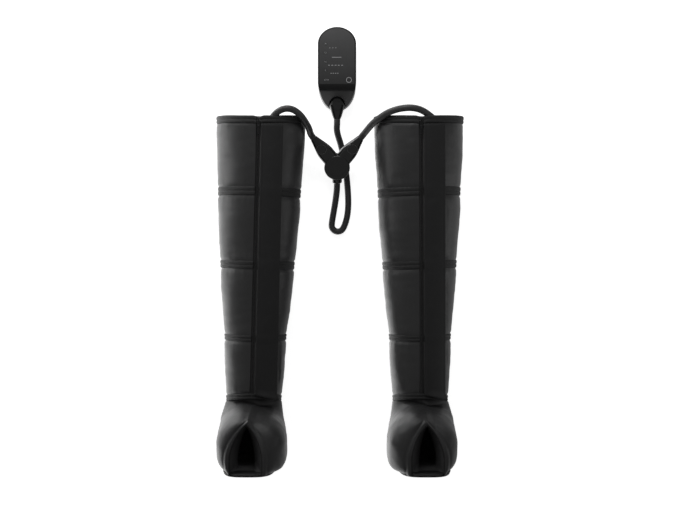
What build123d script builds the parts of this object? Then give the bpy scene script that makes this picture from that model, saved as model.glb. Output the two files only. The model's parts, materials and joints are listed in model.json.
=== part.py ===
from build123d import *
import os
from math import cos, pi, radians, sin, tan

# Compression therapy outfit: a control unit with its air pump, a hose to a Y hub,
# and two leg sleeves of five air chambers, laid out flat on the floor as in use.
# Millimetres. +Z is up from the floor, +Y runs from the toes to the control unit,
# and the origin is on the floor at the middle of the outfit.

os.makedirs("parts", exist_ok=True)

fit_gap = 0.3               # between pieces that slip or move past each other
middle_x = -8.3             # line of the control unit, its hose and the hub

# Control unit: casing
unit_width = 106.0
unit_length = 221.0
unit_tip_y = 379.0          # the hose end
unit_height = 97.0          # casing alone, without its feet
foot_height = 3.0
foot_radius = 8.0
foot_x = 31.8               # from the middle line
head_cap_length = 47.0      # half-ellipse at the far end
hose_cap_length = 71.0      # longer half-ellipse at the hose end
slope_length = 51.0         # from the hose tip back to the brow
slope_foot_height = 17.0    # casing height left at the hose tip
brow_radius = 24.0
rim_radius = 3.5
crown_lean = 0.3            # least upward share of a crown face's normal
case_wall = 2.8
parting_height = 42.0       # of the joint between the two shells, above the casing's base

# Control unit: face
panel_thickness = 1.6
panel_margin = 0.8          # of plain shell between the rounded rim and the panel
panel_foot_gap = 12.0       # of plain shell between the brow and the panel's foot
start_button_radius = 9.0
start_button_x = 33.0       # from the middle line
start_button_rise = 11.0    # from the panel's foot
start_travel = 0.8
start_ring_width = 1.4
key_radius = 4.6
key_x = -32.0
key_rows = {"time": 47.0, "zone": 72.0, "level": 97.0, "link": 121.0}   # from the far end
key_travel = 0.6
cap_proud = 0.3
flange_width = 1.2
flange_thickness = 1.4
stem_radius = 1.6
light_height = 1.8
light_depth = 0.8
light_rows = (               # row from the far end, x of its first mark, pitch, width of a mark
    (58.5, -21.5, 8.4, 3.0),
    (84.5, -14.0, 26.0, 26.0),
    (106.5, -24.5, 9.0, 5.0),
    (128.5, -18.0, 6.2, 3.6),
)
light_counts = (3, 1, 5, 4)

# Control unit: screws and what the casing holds
case_screw_insets = (20.0, 12.0)    # inwards from the two rounded ends
case_screw_reach = 8.0      # into the top shell
screw_boss_radius = 4.0
board_margins = (69.0, 42.0)        # from the hose tip and from the far end
board_width = 80.0
board_thickness = 1.6
board_drop = 8.0            # from the underside of the casing's top to the board
post_radius = 3.0
post_x = 37.0               # from the middle line
post_insets = (18.0, 17.5)          # inwards from the board's ends
battery_size = (74.0, 42.0, 62.0)
motor_x = -20.5             # from the middle line
motor_radius = 17.0
motor_length = 44.0
motor_axis_rise = 20.0      # above the casing floor
cradle_thickness = 4.0
cradle_height = 14.0
cradle_places = (0.2, 0.8)  # of the motor's length
head_size = (38.0, 22.0, 50.0)
crank_chamber_radius = 12.0
crank_radius = 10.6
crank_width = 5.0
crank_pin_radius = 2.0
crank_throw = 6.0
shaft_radius = 2.0
shaft_reach = 9.0           # of the shaft inside the motor
shaft_gap = 0.05
dome_radius = 15.0
dome_height = 9.0
manifold_size = (68.0, 22.0, 38.0)
valve_size = (11.0, 16.0, 19.0)
valve_pitch = 13.2
port_count = 5
port_radius = 2.0
port_length = 6.0
port_pitch = 6.6

# Charge inlet in the far end wall
inlet_radius = 5.5
inlet_bore_radius = 3.2
inlet_depth = 9.0
inlet_length = 13.0
inlet_height = 20.0
inlet_set_back = 1.5

# Socket and plug at the hose end, their depths taken inwards from the hose tip
plug_width = 44.0
plug_height = 36.0
plug_axis_height = 36.0
plug_corner = 15.0
plug_flat = 1.0             # straight half-run kept between two corners of a slim section
socket_wall = 3.0
socket_depth = 45.0
notch_depth = 30.0
plug_head_depth = 12.0      # where the plug's full section ends
plug_waist_reach = 18.0     # outside the hose tip
plug_waist_width = 26.0
plug_tail_length = 7.5
plug_tail_width = 19.0
latch_width = 26.0
latch_length = 24.0
latch_head_depth = 23.0
latch_travel = 2.0
latch_proud = 0.8
latch_floor = 8.0           # pocket floor above the plug's axis

# Y hub
hub_y = 218.3
hub_height = 52.0
hub_pitch = 25.0            # degrees: the plug side is raised
hub_radius = 36.0
hub_thickness = 30.0
hub_edge = 3.5
hub_dish_radius = 24.0
hub_dish_depth = 0.8
arm_angle = 38.0            # each side of the hub's upward line
arm_width = 45.0
arm_thickness = 27.0
arm_corner = 12.0
arm_length = 47.0
spigot_width = 34.0
spigot_thickness = 17.0
spigot_corner = 8.0
spigot_length = 15.0
boss_radius = 15.0
collar_radius = 13.7
collar_length = 13.0
collar_chamfer = 2.0
collar_reach = 48.0         # from the hub's centre to the collar's face
collar_neck_radius = 9.0
collar_neck_length = 10.0
screw_head_radius = 3.2
screw_head_height = 2.4
screw_radius = 1.5
hub_screw_length = 20.0
screw_spots = ((0, 17), (-20, -12), (20, -12))

# Plugs in the hub's arms: distance along the arm, width and thickness
boot_plug_sections = ((arm_length, arm_width, arm_thickness), (60, 43.0, 27.0), (76, 36.0, 25.0),
                      (98, 23.5, 21.0))
boot_plug_tip = (105, 20.0, 19.0)
plug_button_distance = 70.0
plug_button_radius = 12.2
plug_button_height = 6.0
plug_button_travel = 2.0
plug_button_dish = 1.2
button_rim_width = 2.0
button_rim_top = 13.6       # above the hub's middle plane

# Hoses
hose_radius = 9.0
plug_exit = 14.0            # straight run out of each plug and the collar
gland_exit = 9.0
bend_share = 0.45           # of the shorter run at a corner, taken by its bend
pump_hose_points = [
    (-9.4, 326, 32), (-7.0, 312, 26), (-2.6, 299, 19.5), (2.4, 284, 13.5),
    (8.5, 258, 9.6), (14, 226, 9.3), (18.5, 194, 9.6), (21.4, 164, 9.2), (23.4, 134, 9.4),
    (23.4, 106, 9.2), (20.6, 80, 9.3), (14.5, 57, 9.3), (5.5, 39, 9.3), (-11, 35.5, 9.4),
    (-24, 46.8, 9.5), (-23.2, 63.5, 9.7), (-19.2, 86, 11), (-14.6, 113, 13.5), (-10.4, 140, 18),
]
left_hose_points = [
    (-164.0, 356.0, 183), (-147.0, 362.5, 186), (-127.0, 361.0, 182), (-109.0, 350.0, 170),
    (-95.0, 333.5, 145), (-84.2, 316.5, 113),
]
right_hose_points = [
    (229.0, 352.5, 182.5), (211.0, 360.5, 188), (188.0, 364.0, 190), (164.0, 362.3, 187), (142.0, 357.5, 180.5),
    (122.0, 349.5, 170), (104.0, 338.0, 156), (90.0, 329.0, 138), (76.5, 316.0, 113),
]

# Leg sleeves: sizes at the rim and at the four seams between the chambers
sleeve_names = ("left", "right")
outward = {"left": -1, "right": 1}
rim_x = {"left": -217.0, "right": 217.0}
ankle_x = {"left": -238.5, "right": 222.0}
rim_y = 337.0
seam_ys = (142.0, -57.0, -256.0, -419.0)
sleeve_widths = (244.0, 227.0, 203.0, 169.0, 152.0)
sleeve_depths = (188.0, 178.0, 166.0, 149.0, 138.0)
rim_ridge_height = 190.0    # front of the sleeve above the floor
ankle_ridge_height = 155.0
sleeve_wall = 24.0
chamber_names = ("thigh", "knee", "calf", "ankle")
chamber_swell = (5.0, 6.0, 6.0, 5.0)
swell_place = 0.36          # of a chamber's length, from its upper seam
band_heights = (24.0, 22.0, 17.0, 17.0)
band_thickness = 2.8
band_recess = 2.0
binding_height = 19.0
binding_thickness = 3.4
binding_cap = 1.6

# Zip in a groove along the front of each sleeve
groove_width = 11.0
groove_depth = 6.0
zip_start = 4.0             # below the rim
tape_width = 10.4
tape_thickness = 1.2
coil_width = 4.6
coil_height = 2.0
slider_length = 15.0
slider_width = 9.4
slider_plate = 1.6
slider_start = 16.0         # centre of the slider below the rim
ear_thickness = 1.1
ear_length = 4.0
pull_clearance = 0.5        # of the pull's eye above the sleeve's ridge
pull_length = 27.0
pull_thickness = 1.6
pull_pin_radius = 1.0
pull_eye_radius = 1.7
pin_hole_gap = 0.06

# Strip beside the zip, from the binding to the ankle band
flap_width = 57.0
flap_offset = 7.0           # from the zip's middle to the strip's near edge
flap_thickness = 2.4
flap_foot_y = -428.0

# Foot chamber: sole side and instep side (y, z) of each section, its width, corner and wall
sole_y = -599.0
foot_sections = (
    ((-427.5, 16.8), (-427.5, 154.6), 153.0, 68.0, 24.0),
    ((-520.0, 5.0), (-437.0, 162.0), 160.0, 72.0, 23.0),
    ((-580.0, 21.0), (-444.0, 178.0), 170.0, 76.0, 22.0),
    ((sole_y, 80.0), (-451.0, 201.0), 182.0, 76.0, 21.0),
    ((sole_y, 152.0), (-457.0, 226.0), 188.0, 66.0, 20.0),
    ((sole_y, 222.0), (-463.0, 254.0), 182.0, 62.0, 18.0),
    ((sole_y, 278.0), (-476.0, 280.0), 158.0, 56.0, 17.0),
)
toe_width = 112.0
toe_corner = 44.0
foot_end = ((sole_y, 307.0), (-505.0, 304.0), toe_width, toe_corner)
sole_thickness = 8.0
toe_offset = 4.0            # of the toe opening, outwards from the foot's middle
toe_apex_y = -471.0
toe_spring_y = -555.0
toe_half_width = 43.0
toe_bow = (28.5, -504.0)    # a point on each side of the pointed arch

# Gland where each hose enters its sleeve
gland_offset = 34.0         # to the right of the zip
gland_radius = 10.0
gland_length = 18.0
gland_reach = 2.0           # beyond the rim
gland_chamfer = 0.8
gland_notch = 4.0           # room around the gland in the binding
gland_lean = {"left": (0.56, 0.78, 0.28), "right": (-0.78, 0.55, 0.30)}

case_base_z = foot_height
case_top_z = foot_height + unit_height
parting_z = case_base_z + parting_height
floor_z = case_base_z + case_wall
unit_end_y = unit_tip_y + unit_length
head_cap_y = unit_end_y - head_cap_length
hose_cap_y = unit_tip_y + hose_cap_length
ceiling_z = case_top_z - case_wall
board_top_z = ceiling_z - board_drop
panel_foot_y = unit_tip_y + slope_length + panel_foot_gap
socket_back_y = unit_tip_y + socket_depth
notch_top_y = unit_tip_y + notch_depth
plug_head_end_y = unit_tip_y + plug_head_depth
plug_waist_y = unit_tip_y - plug_waist_reach
plug_tail_y = plug_waist_y - plug_tail_length
latch_head_y = unit_tip_y + latch_head_depth
latch_foot_y = latch_head_y - latch_length

# Manifold, compressor, battery and inlet stand in one row along the casing, with equal
# gaps before the compressor, behind its motor and behind the battery.
manifold_front_y = socket_back_y + socket_wall
inlet_front_y = unit_end_y - inlet_set_back - inlet_length
row_gap = (inlet_front_y - manifold_front_y - manifold_size[1] - head_size[1] - motor_length - battery_size[1]) / 3
motor_front_y = manifold_front_y + manifold_size[1] + row_gap + head_size[1]
battery_front_y = motor_front_y + motor_length + row_gap
board_ends = (unit_tip_y + board_margins[0], unit_end_y - board_margins[1])
post_rows = (board_ends[0] + post_insets[0], board_ends[1] - post_insets[1])
case_screw_rows = (hose_cap_y + case_screw_insets[0], head_cap_y - case_screw_insets[1])


def write(piece, name):
    piece.part.label = name
    export_step(piece.part, f"parts/{name}.step")


# ---------------------------------------------------------------- control unit

def draw_unit_plan(inset):
    with Locations((middle_x, head_cap_y)):
        Ellipse(unit_width / 2 - inset, head_cap_length - inset)
    with Locations((middle_x, hose_cap_y)):
        Ellipse(unit_width / 2 - inset, hose_cap_length - inset)
    with Locations((middle_x, (head_cap_y + hose_cap_y) / 2)):
        Rectangle(unit_width - 2 * inset, head_cap_y - hose_cap_y)


def build_unit_form(inset):
    # The casing's outer form, or with an inset the space inside its walls. The slope's
    # line moves inwards square to itself, so the wall keeps its thickness.
    slope_rise = unit_height - slope_foot_height
    slope_line = (slope_length**2 + slope_rise**2) ** 0.5
    shift = inset * slope_line / slope_rise
    brow_y = unit_tip_y + slope_length + shift - inset * slope_length / slope_rise
    top_z = case_top_z - inset
    base_z = case_base_z + inset
    tip_z = case_base_z + slope_foot_height
    with BuildPart() as form:
        with BuildSketch(Plane.XY.offset(base_z)):
            draw_unit_plan(inset)
        extrude(amount=unit_height - 2 * inset)
        with BuildSketch(Plane.YZ.offset(middle_x)):
            with BuildLine():
                FilletPolyline((unit_end_y, top_z), (brow_y, top_z), (unit_tip_y + shift, tip_z),
                               radius=brow_radius)
                Polyline((unit_tip_y + shift, tip_z), (unit_tip_y + shift, base_z), (unit_end_y, base_z),
                         (unit_end_y, top_z))
            make_face()
        extrude(amount=unit_width, both=True, mode=Mode.INTERSECT)
    return form


unit_outer = build_unit_form(0)
with unit_outer:
    crown_faces = unit_outer.faces().filter_by(lambda face: face.normal_at().Z > crown_lean)
    fillet(crown_faces.edges().filter_by(Axis.X, reverse=True), rim_radius)
unit_inner = build_unit_form(case_wall)


def plug_plane(y):
    # Sections of the plug and its socket lie across the hose line; local y is up.
    return Plane(origin=(middle_x, y, plug_axis_height), x_dir=(1, 0, 0), z_dir=(0, -1, 0))


def draw_latch_plan(width, head_y, foot_y):
    arch_radius = width / 2
    with Locations((middle_x, head_y - arch_radius)):
        Circle(arch_radius)
    with Locations((middle_x, (head_y - arch_radius + foot_y) / 2)):
        Rectangle(width, head_y - arch_radius - foot_y)


def draw_panel_plan(margin):
    draw_unit_plan(rim_radius + margin)
    with Locations((middle_x, panel_foot_y)):
        Rectangle(unit_width, 2 * unit_length, align=(Align.CENTER, Align.MAX), mode=Mode.SUBTRACT)


start_spot = (middle_x + start_button_x, panel_foot_y + start_button_rise)
key_spots = {name: (middle_x + key_x, unit_end_y - row) for name, row in key_rows.items()}
light_spots = [([(middle_x + first_x + pitch * step, unit_end_y - row) for step in range(count)], mark_width)
               for (row, first_x, pitch, mark_width), count in zip(light_rows, light_counts)]
panel_base_z = case_top_z - panel_thickness
post_spots = [(middle_x + side * post_x, y) for side in (-1, 1) for y in post_rows]
foot_spots = [(middle_x + side * foot_x, y)
              for side in (-1, 1) for y in (hose_cap_y - foot_radius, head_cap_y)]
case_screw_x = unit_width / 2 - case_wall - screw_boss_radius - fit_gap
case_screw_spots = [(middle_x + side * case_screw_x, y) for side in (-1, 1) for y in case_screw_rows]

with BuildPart() as pump_top_shell:
    add(unit_outer.part)
    add(unit_inner.part, mode=Mode.SUBTRACT)
    split(bisect_by=Plane.XY.offset(parting_z), keep=Keep.TOP)
    with BuildSketch(Plane.XY.offset(panel_base_z)):
        draw_panel_plan(panel_margin - fit_gap / 3)
    extrude(amount=panel_thickness, mode=Mode.SUBTRACT)
    with BuildSketch(Plane.XY.offset(ceiling_z)):
        with Locations(start_spot):
            Circle(start_button_radius + fit_gap)
        with Locations(*key_spots.values()):
            Circle(key_radius + fit_gap)
    extrude(amount=case_wall, mode=Mode.SUBTRACT)
    with BuildSketch(Plane.XY.offset(board_top_z)):
        with Locations(*post_spots):
            Circle(post_radius)
    extrude(amount=board_drop)
    with BuildSketch(Plane.XY.offset(parting_z)):
        with Locations(*case_screw_spots):
            Circle(screw_boss_radius)
    extrude(amount=ceiling_z - parting_z)
    with BuildSketch(Plane.XY.offset(parting_z)):
        with Locations(*case_screw_spots):
            Circle(screw_radius + fit_gap)
    extrude(amount=case_screw_reach + fit_gap, mode=Mode.SUBTRACT)
    with BuildSketch(plug_plane(socket_back_y + socket_wall + fit_gap)):
        RectangleRounded(plug_width + 2 * (socket_wall + fit_gap), plug_height + 2 * (socket_wall + fit_gap),
                         plug_corner + socket_wall)
    extrude(amount=unit_length, mode=Mode.SUBTRACT)
    with BuildSketch(Plane.XY.offset(plug_axis_height)):
        draw_latch_plan(plug_width + 2 * socket_wall, notch_top_y + socket_wall, unit_tip_y - socket_wall)
    extrude(amount=unit_height, mode=Mode.SUBTRACT)

with BuildPart() as pump_base_shell:
    add(unit_outer.part)
    add(unit_inner.part, mode=Mode.SUBTRACT)
    split(bisect_by=Plane.XY.offset(parting_z), keep=Keep.BOTTOM)
    for place in cradle_places:
        with BuildSketch(Plane.XZ.offset(-motor_front_y - place * motor_length)):
            with Locations((middle_x + motor_x, floor_z)):
                Rectangle(2 * motor_radius, cradle_height, align=(Align.CENTER, Align.MIN))
            with Locations((middle_x + motor_x, floor_z + motor_axis_rise)):
                Circle(motor_radius + fit_gap, mode=Mode.SUBTRACT)
        extrude(amount=cradle_thickness / 2, both=True)
    with BuildSketch(plug_plane(socket_back_y + socket_wall + fit_gap)):
        RectangleRounded(plug_width + 2 * (socket_wall + fit_gap), plug_height + 2 * (socket_wall + fit_gap),
                         plug_corner + socket_wall)
    extrude(amount=unit_length, mode=Mode.SUBTRACT)
    with BuildSketch(Plane.XZ.offset(-unit_end_y)):
        with Locations((middle_x, case_base_z + inlet_height)):
            Circle(inlet_radius + fit_gap)
    extrude(amount=inlet_length + inlet_set_back, mode=Mode.SUBTRACT)
    with BuildSketch(Plane.XY.offset(floor_z)):
        with Locations(*case_screw_spots):
            Circle(screw_boss_radius)
    extrude(amount=parting_z - floor_z)
    with BuildSketch(Plane.XY.offset(case_base_z)):
        with Locations(*case_screw_spots):
            Circle(screw_radius + fit_gap)
    extrude(amount=parting_height, mode=Mode.SUBTRACT)
    with BuildSketch(Plane.XY.offset(case_base_z)):
        with Locations(*case_screw_spots):
            Circle(screw_head_radius + fit_gap)
    extrude(amount=screw_head_height, mode=Mode.SUBTRACT)

with BuildPart() as face_panel:
    with BuildSketch(Plane.XY.offset(panel_base_z)):
        draw_panel_plan(panel_margin)
        with Locations(start_spot):
            Circle(start_button_radius + fit_gap, mode=Mode.SUBTRACT)
        with Locations(*key_spots.values()):
            Circle(key_radius + fit_gap, mode=Mode.SUBTRACT)
    extrude(amount=panel_thickness)
    with BuildSketch(Plane.XY.offset(case_top_z - light_depth)):
        for spots, mark_width in light_spots:
            with Locations(*spots):
                Rectangle(mark_width, light_height, align=(Align.MIN, Align.CENTER))
    extrude(amount=light_depth, mode=Mode.SUBTRACT)

with BuildPart() as indicator_lights:
    with BuildSketch(Plane.XY.offset(case_top_z - light_depth)):
        for spots, mark_width in light_spots:
            with Locations(*spots):
                Rectangle(mark_width, light_height, align=(Align.MIN, Align.CENTER))
    extrude(amount=light_depth)


def build_key(spot, radius, travel, ring_width=0):
    # A cap through the panel, a flange that stops under the shell, and a stem over the board.
    flange_top = ceiling_z - fit_gap
    with BuildPart() as key:
        with BuildSketch(Plane.XY.offset(flange_top)):
            with Locations(spot):
                Circle(radius)
        extrude(amount=case_top_z + cap_proud - flange_top)
        with BuildSketch(Plane.XY.offset(flange_top)):
            with Locations(spot):
                Circle(radius + flange_width)
        extrude(amount=-flange_thickness)
        with BuildSketch(Plane.XY.offset(board_top_z + travel + fit_gap)):
            with Locations(spot):
                Circle(stem_radius)
        extrude(amount=flange_top - board_top_z - travel - fit_gap)
        if ring_width:
            with BuildSketch(Plane.XY.offset(case_top_z + cap_proud)):
                with Locations(spot):
                    Circle(radius - ring_width)
                    Circle(radius - 2 * ring_width, mode=Mode.SUBTRACT)
            extrude(amount=-ring_width / 2, mode=Mode.SUBTRACT)
    return key


start_button = build_key(start_spot, start_button_radius, start_travel, start_ring_width)
panel_keys = {name: build_key(spot, key_radius, key_travel) for name, spot in key_spots.items()}

with BuildPart() as rubber_feet:
    with BuildSketch():
        with Locations(*foot_spots):
            Circle(foot_radius)
    extrude(amount=foot_height)

with BuildPart() as case_screws:
    with BuildSketch(Plane.XY.offset(case_base_z)):
        with Locations(*case_screw_spots):
            Circle(screw_head_radius)
    extrude(amount=screw_head_height)
    with BuildSketch(Plane.XY.offset(case_base_z + screw_head_height)):
        with Locations(*case_screw_spots):
            Circle(screw_radius)
    extrude(amount=parting_height - screw_head_height + case_screw_reach)

with BuildPart() as circuit_board:
    with BuildSketch(Plane.XY.offset(board_top_z)):
        with Locations((middle_x, (board_ends[0] + board_ends[1]) / 2)):
            RectangleRounded(board_width, board_ends[1] - board_ends[0], 2 * post_radius)
    extrude(amount=-board_thickness)

with BuildPart() as battery_pack:
    with BuildSketch(Plane.XY.offset(floor_z)):
        with Locations((middle_x, battery_front_y + battery_size[1] / 2)):
            RectangleRounded(battery_size[0], battery_size[1], battery_size[1] / 5)
    extrude(amount=battery_size[2])

motor_axis_z = floor_z + motor_axis_rise


def motor_plane(y):
    return Plane(origin=(middle_x + motor_x, y, motor_axis_z), x_dir=(1, 0, 0), z_dir=(0, -1, 0))


with BuildPart() as compressor_motor:
    with BuildSketch(motor_plane(motor_front_y)):
        Circle(motor_radius)
    extrude(amount=-motor_length)
    with BuildSketch(motor_plane(motor_front_y)):
        Circle(shaft_radius + shaft_gap)
    extrude(amount=-shaft_reach - fit_gap, mode=Mode.SUBTRACT)

head_front_y = motor_front_y - head_size[1]
head_top_z = floor_z + head_size[2]
with BuildPart() as compressor_head:
    with BuildSketch(Plane.XY.offset(floor_z)):
        with Locations((middle_x + motor_x, motor_front_y)):
            Rectangle(head_size[0], head_size[1], align=(Align.CENTER, Align.MAX))
    extrude(amount=head_size[2])
    with BuildSketch(motor_plane(motor_front_y)):
        Circle(crank_chamber_radius)
    extrude(amount=head_size[1] - case_wall, mode=Mode.SUBTRACT)
    with BuildSketch(Plane.XY.offset(head_top_z)):
        with Locations((middle_x + motor_x, (motor_front_y + head_front_y) / 2)):
            Circle(min(dome_radius, head_size[1] / 2))
    extrude(amount=dome_height)
    fillet(compressor_head.faces().sort_by(Axis.Z)[-1].edges(), dome_height / 3)

crank_face_y = motor_front_y - case_wall
with BuildPart() as compressor_crank:
    with BuildSketch(motor_plane(crank_face_y)):
        Circle(crank_radius)
        with Locations((0, crank_radius)):
            Rectangle(2 * crank_radius, crank_radius / 2, align=(Align.CENTER, Align.MAX), mode=Mode.SUBTRACT)
    extrude(amount=crank_width)
    with BuildSketch(motor_plane(crank_face_y - crank_width)):
        with Locations((0, -crank_throw)):
            Circle(crank_pin_radius)
    extrude(amount=crank_width)
    with BuildSketch(motor_plane(crank_face_y)):
        Circle(shaft_radius)
    extrude(amount=-case_wall - shaft_reach)

with BuildPart() as valve_manifold:
    with BuildSketch(Plane.XY.offset(floor_z)):
        with Locations((middle_x, manifold_front_y)):
            Rectangle(manifold_size[0], manifold_size[1], align=(Align.CENTER, Align.MIN))
    extrude(amount=manifold_size[2])

with BuildPart() as solenoid_valves:
    with BuildSketch(Plane.XY.offset(floor_z + manifold_size[2])):
        with Locations((middle_x, manifold_front_y + manifold_size[1] / 2)):
            with GridLocations(valve_pitch, 0, port_count, 1):
                Rectangle(valve_size[0], valve_size[1])
    extrude(amount=valve_size[2])

with BuildPart() as hose_socket:
    with BuildSketch(plug_plane(socket_back_y + socket_wall)):
        RectangleRounded(plug_width + 2 * socket_wall, plug_height + 2 * socket_wall, plug_corner + socket_wall)
    extrude(amount=unit_length)
    add(unit_outer.part, mode=Mode.INTERSECT)
    with BuildSketch(plug_plane(socket_back_y)):
        RectangleRounded(plug_width + 2 * fit_gap, plug_height + 2 * fit_gap, plug_corner + fit_gap)
    extrude(amount=unit_length, mode=Mode.SUBTRACT)
    with BuildSketch(Plane.XY.offset(plug_axis_height)):
        draw_latch_plan(plug_width + 2 * (socket_wall + fit_gap), notch_top_y, unit_tip_y - socket_wall)
    extrude(amount=unit_height, mode=Mode.SUBTRACT)
    with BuildSketch(plug_plane(socket_back_y)):
        with GridLocations(port_pitch, 0, port_count, 1):
            Circle(port_radius)
    extrude(amount=port_length)

with BuildPart() as charge_inlet:
    with BuildSketch(Plane.XZ.offset(-(unit_end_y - inlet_set_back))):
        with Locations((middle_x, case_base_z + inlet_height)):
            Circle(inlet_radius)
    extrude(amount=inlet_length)
    with BuildSketch(Plane.XZ.offset(-(unit_end_y - inlet_set_back))):
        with Locations((middle_x, case_base_z + inlet_height)):
            Circle(inlet_bore_radius)
    extrude(amount=inlet_depth, mode=Mode.SUBTRACT)


# ---------------------------------------------------------------- plug of the pump's hose

def draw_plug_section(width, height, grow):
    corner = min(plug_corner, width / 2 - plug_flat, height / 2 - plug_flat)
    RectangleRounded(width + 2 * grow, height + 2 * grow, corner + grow)


def build_plug_form(grow):
    with BuildPart() as form:
        with BuildSketch(plug_plane(socket_back_y - fit_gap)):
            draw_plug_section(plug_width, plug_height, grow)
        extrude(amount=socket_back_y - fit_gap - plug_head_end_y)
        for near, far in (((plug_head_end_y, plug_width, plug_height),
                           (plug_waist_y, plug_waist_width, plug_waist_width - 1)),
                          ((plug_waist_y, plug_waist_width, plug_waist_width - 1),
                           (plug_tail_y, plug_tail_width, plug_tail_width))):
            for y, width, height in (near, far):
                with BuildSketch(plug_plane(y)):
                    draw_plug_section(width, height, grow)
            loft()
    return form


plug_form = build_plug_form(0)
plug_form_proud = build_plug_form(latch_proud)
latch_floor_z = plug_axis_height + latch_floor

with BuildPart() as pump_plug:
    add(plug_form.part)
    with BuildSketch(Plane.XY.offset(latch_floor_z)):
        draw_latch_plan(latch_width, latch_head_y, latch_foot_y)
    extrude(amount=plug_height, mode=Mode.SUBTRACT)
    with BuildSketch(plug_plane(socket_back_y)):
        with GridLocations(port_pitch, 0, port_count, 1):
            Circle(port_radius + fit_gap)
    extrude(amount=port_length + fit_gap, mode=Mode.SUBTRACT)

with BuildPart() as pump_plug_latch:
    with BuildSketch(Plane.XY.offset(latch_floor_z + latch_travel + fit_gap)):
        draw_latch_plan(latch_width - 2 * fit_gap, latch_head_y - fit_gap, latch_foot_y + fit_gap)
    extrude(amount=plug_height)
    add(plug_form_proud.part, mode=Mode.INTERSECT)


# ---------------------------------------------------------------- Y hub and its plugs

hub_tilt = radians(hub_pitch)
hub_plane = Plane(origin=(middle_x, hub_y, hub_height), x_dir=(1, 0, 0),
                  z_dir=(0, -sin(hub_tilt), cos(hub_tilt)))


def arm_plane(name, distance):
    # Across an arm of the hub, its local y square to the hub's middle plane.
    across = hub_plane.x_dir * cos(radians(arm_angle))
    along = hub_plane.y_dir * cos(radians(arm_angle)) + hub_plane.x_dir * outward[name] * sin(radians(arm_angle))
    back = hub_plane.y_dir * outward[name] * sin(radians(arm_angle))
    return Plane(origin=hub_plane.origin + along * distance, x_dir=back - across, z_dir=along)


def collar_plane(distance):
    return Plane(origin=hub_plane.origin - hub_plane.y_dir * distance, x_dir=hub_plane.x_dir,
                 z_dir=-hub_plane.y_dir)


with BuildPart() as hub_form:
    with BuildSketch(hub_plane):
        Circle(hub_radius)
    extrude(amount=hub_thickness / 2, both=True)
    fillet(hub_form.edges().filter_by(GeomType.CIRCLE), hub_edge)
    for name in sleeve_names:
        with BuildSketch(arm_plane(name, 0)):
            RectangleRounded(arm_width, arm_thickness, arm_corner)
        extrude(amount=arm_length)
    with BuildSketch(collar_plane(0)):
        Circle(boss_radius - hub_edge / 2)
    extrude(amount=collar_reach - collar_length - fit_gap)
    for name in sleeve_names:
        with BuildSketch(arm_plane(name, arm_length)):
            RectangleRounded(spigot_width + 2 * fit_gap, spigot_thickness + 2 * fit_gap, spigot_corner + fit_gap)
        extrude(amount=-spigot_length - fit_gap, mode=Mode.SUBTRACT)
    with BuildSketch(collar_plane(collar_reach - collar_length - fit_gap)):
        Circle(boss_radius)
    extrude(amount=hub_radius, mode=Mode.SUBTRACT)
    with BuildSketch(collar_plane(collar_reach - collar_length)):
        Circle(collar_neck_radius + fit_gap)
    extrude(amount=-collar_neck_length - fit_gap, mode=Mode.SUBTRACT)
    with BuildSketch(hub_plane.offset(-hub_thickness / 2)):
        with Locations(*screw_spots):
            Circle(screw_radius + fit_gap)
    extrude(amount=screw_head_height + hub_screw_length + fit_gap, mode=Mode.SUBTRACT)

with BuildPart() as hub_upper_cover:
    add(hub_form.part)
    split(bisect_by=hub_plane, keep=Keep.TOP)
    with BuildSketch(hub_plane.offset(hub_thickness / 2)):
        Circle(hub_dish_radius)
    extrude(amount=-hub_dish_depth, mode=Mode.SUBTRACT)

with BuildPart() as hub_lower_cover:
    add(hub_form.part)
    split(bisect_by=hub_plane, keep=Keep.BOTTOM)
    with BuildSketch(hub_plane.offset(-hub_thickness / 2)):
        with Locations(*screw_spots):
            Circle(screw_head_radius + fit_gap)
    extrude(amount=screw_head_height, mode=Mode.SUBTRACT)

with BuildPart() as hub_screws:
    with BuildSketch(hub_plane.offset(-hub_thickness / 2)):
        with Locations(*screw_spots):
            Circle(screw_head_radius)
    extrude(amount=screw_head_height)
    with BuildSketch(hub_plane.offset(screw_head_height - hub_thickness / 2)):
        with Locations(*screw_spots):
            Circle(screw_radius)
    extrude(amount=hub_screw_length)

with BuildPart() as hub_collar:
    with BuildSketch(collar_plane(collar_reach - collar_length)):
        Circle(collar_radius)
    extrude(amount=collar_length)
    chamfer(hub_collar.edges().filter_by(GeomType.CIRCLE), collar_chamfer)
    with BuildSketch(collar_plane(collar_reach - collar_length + collar_chamfer)):
        Circle(collar_neck_radius)
    extrude(amount=-collar_neck_length - collar_chamfer)

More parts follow.
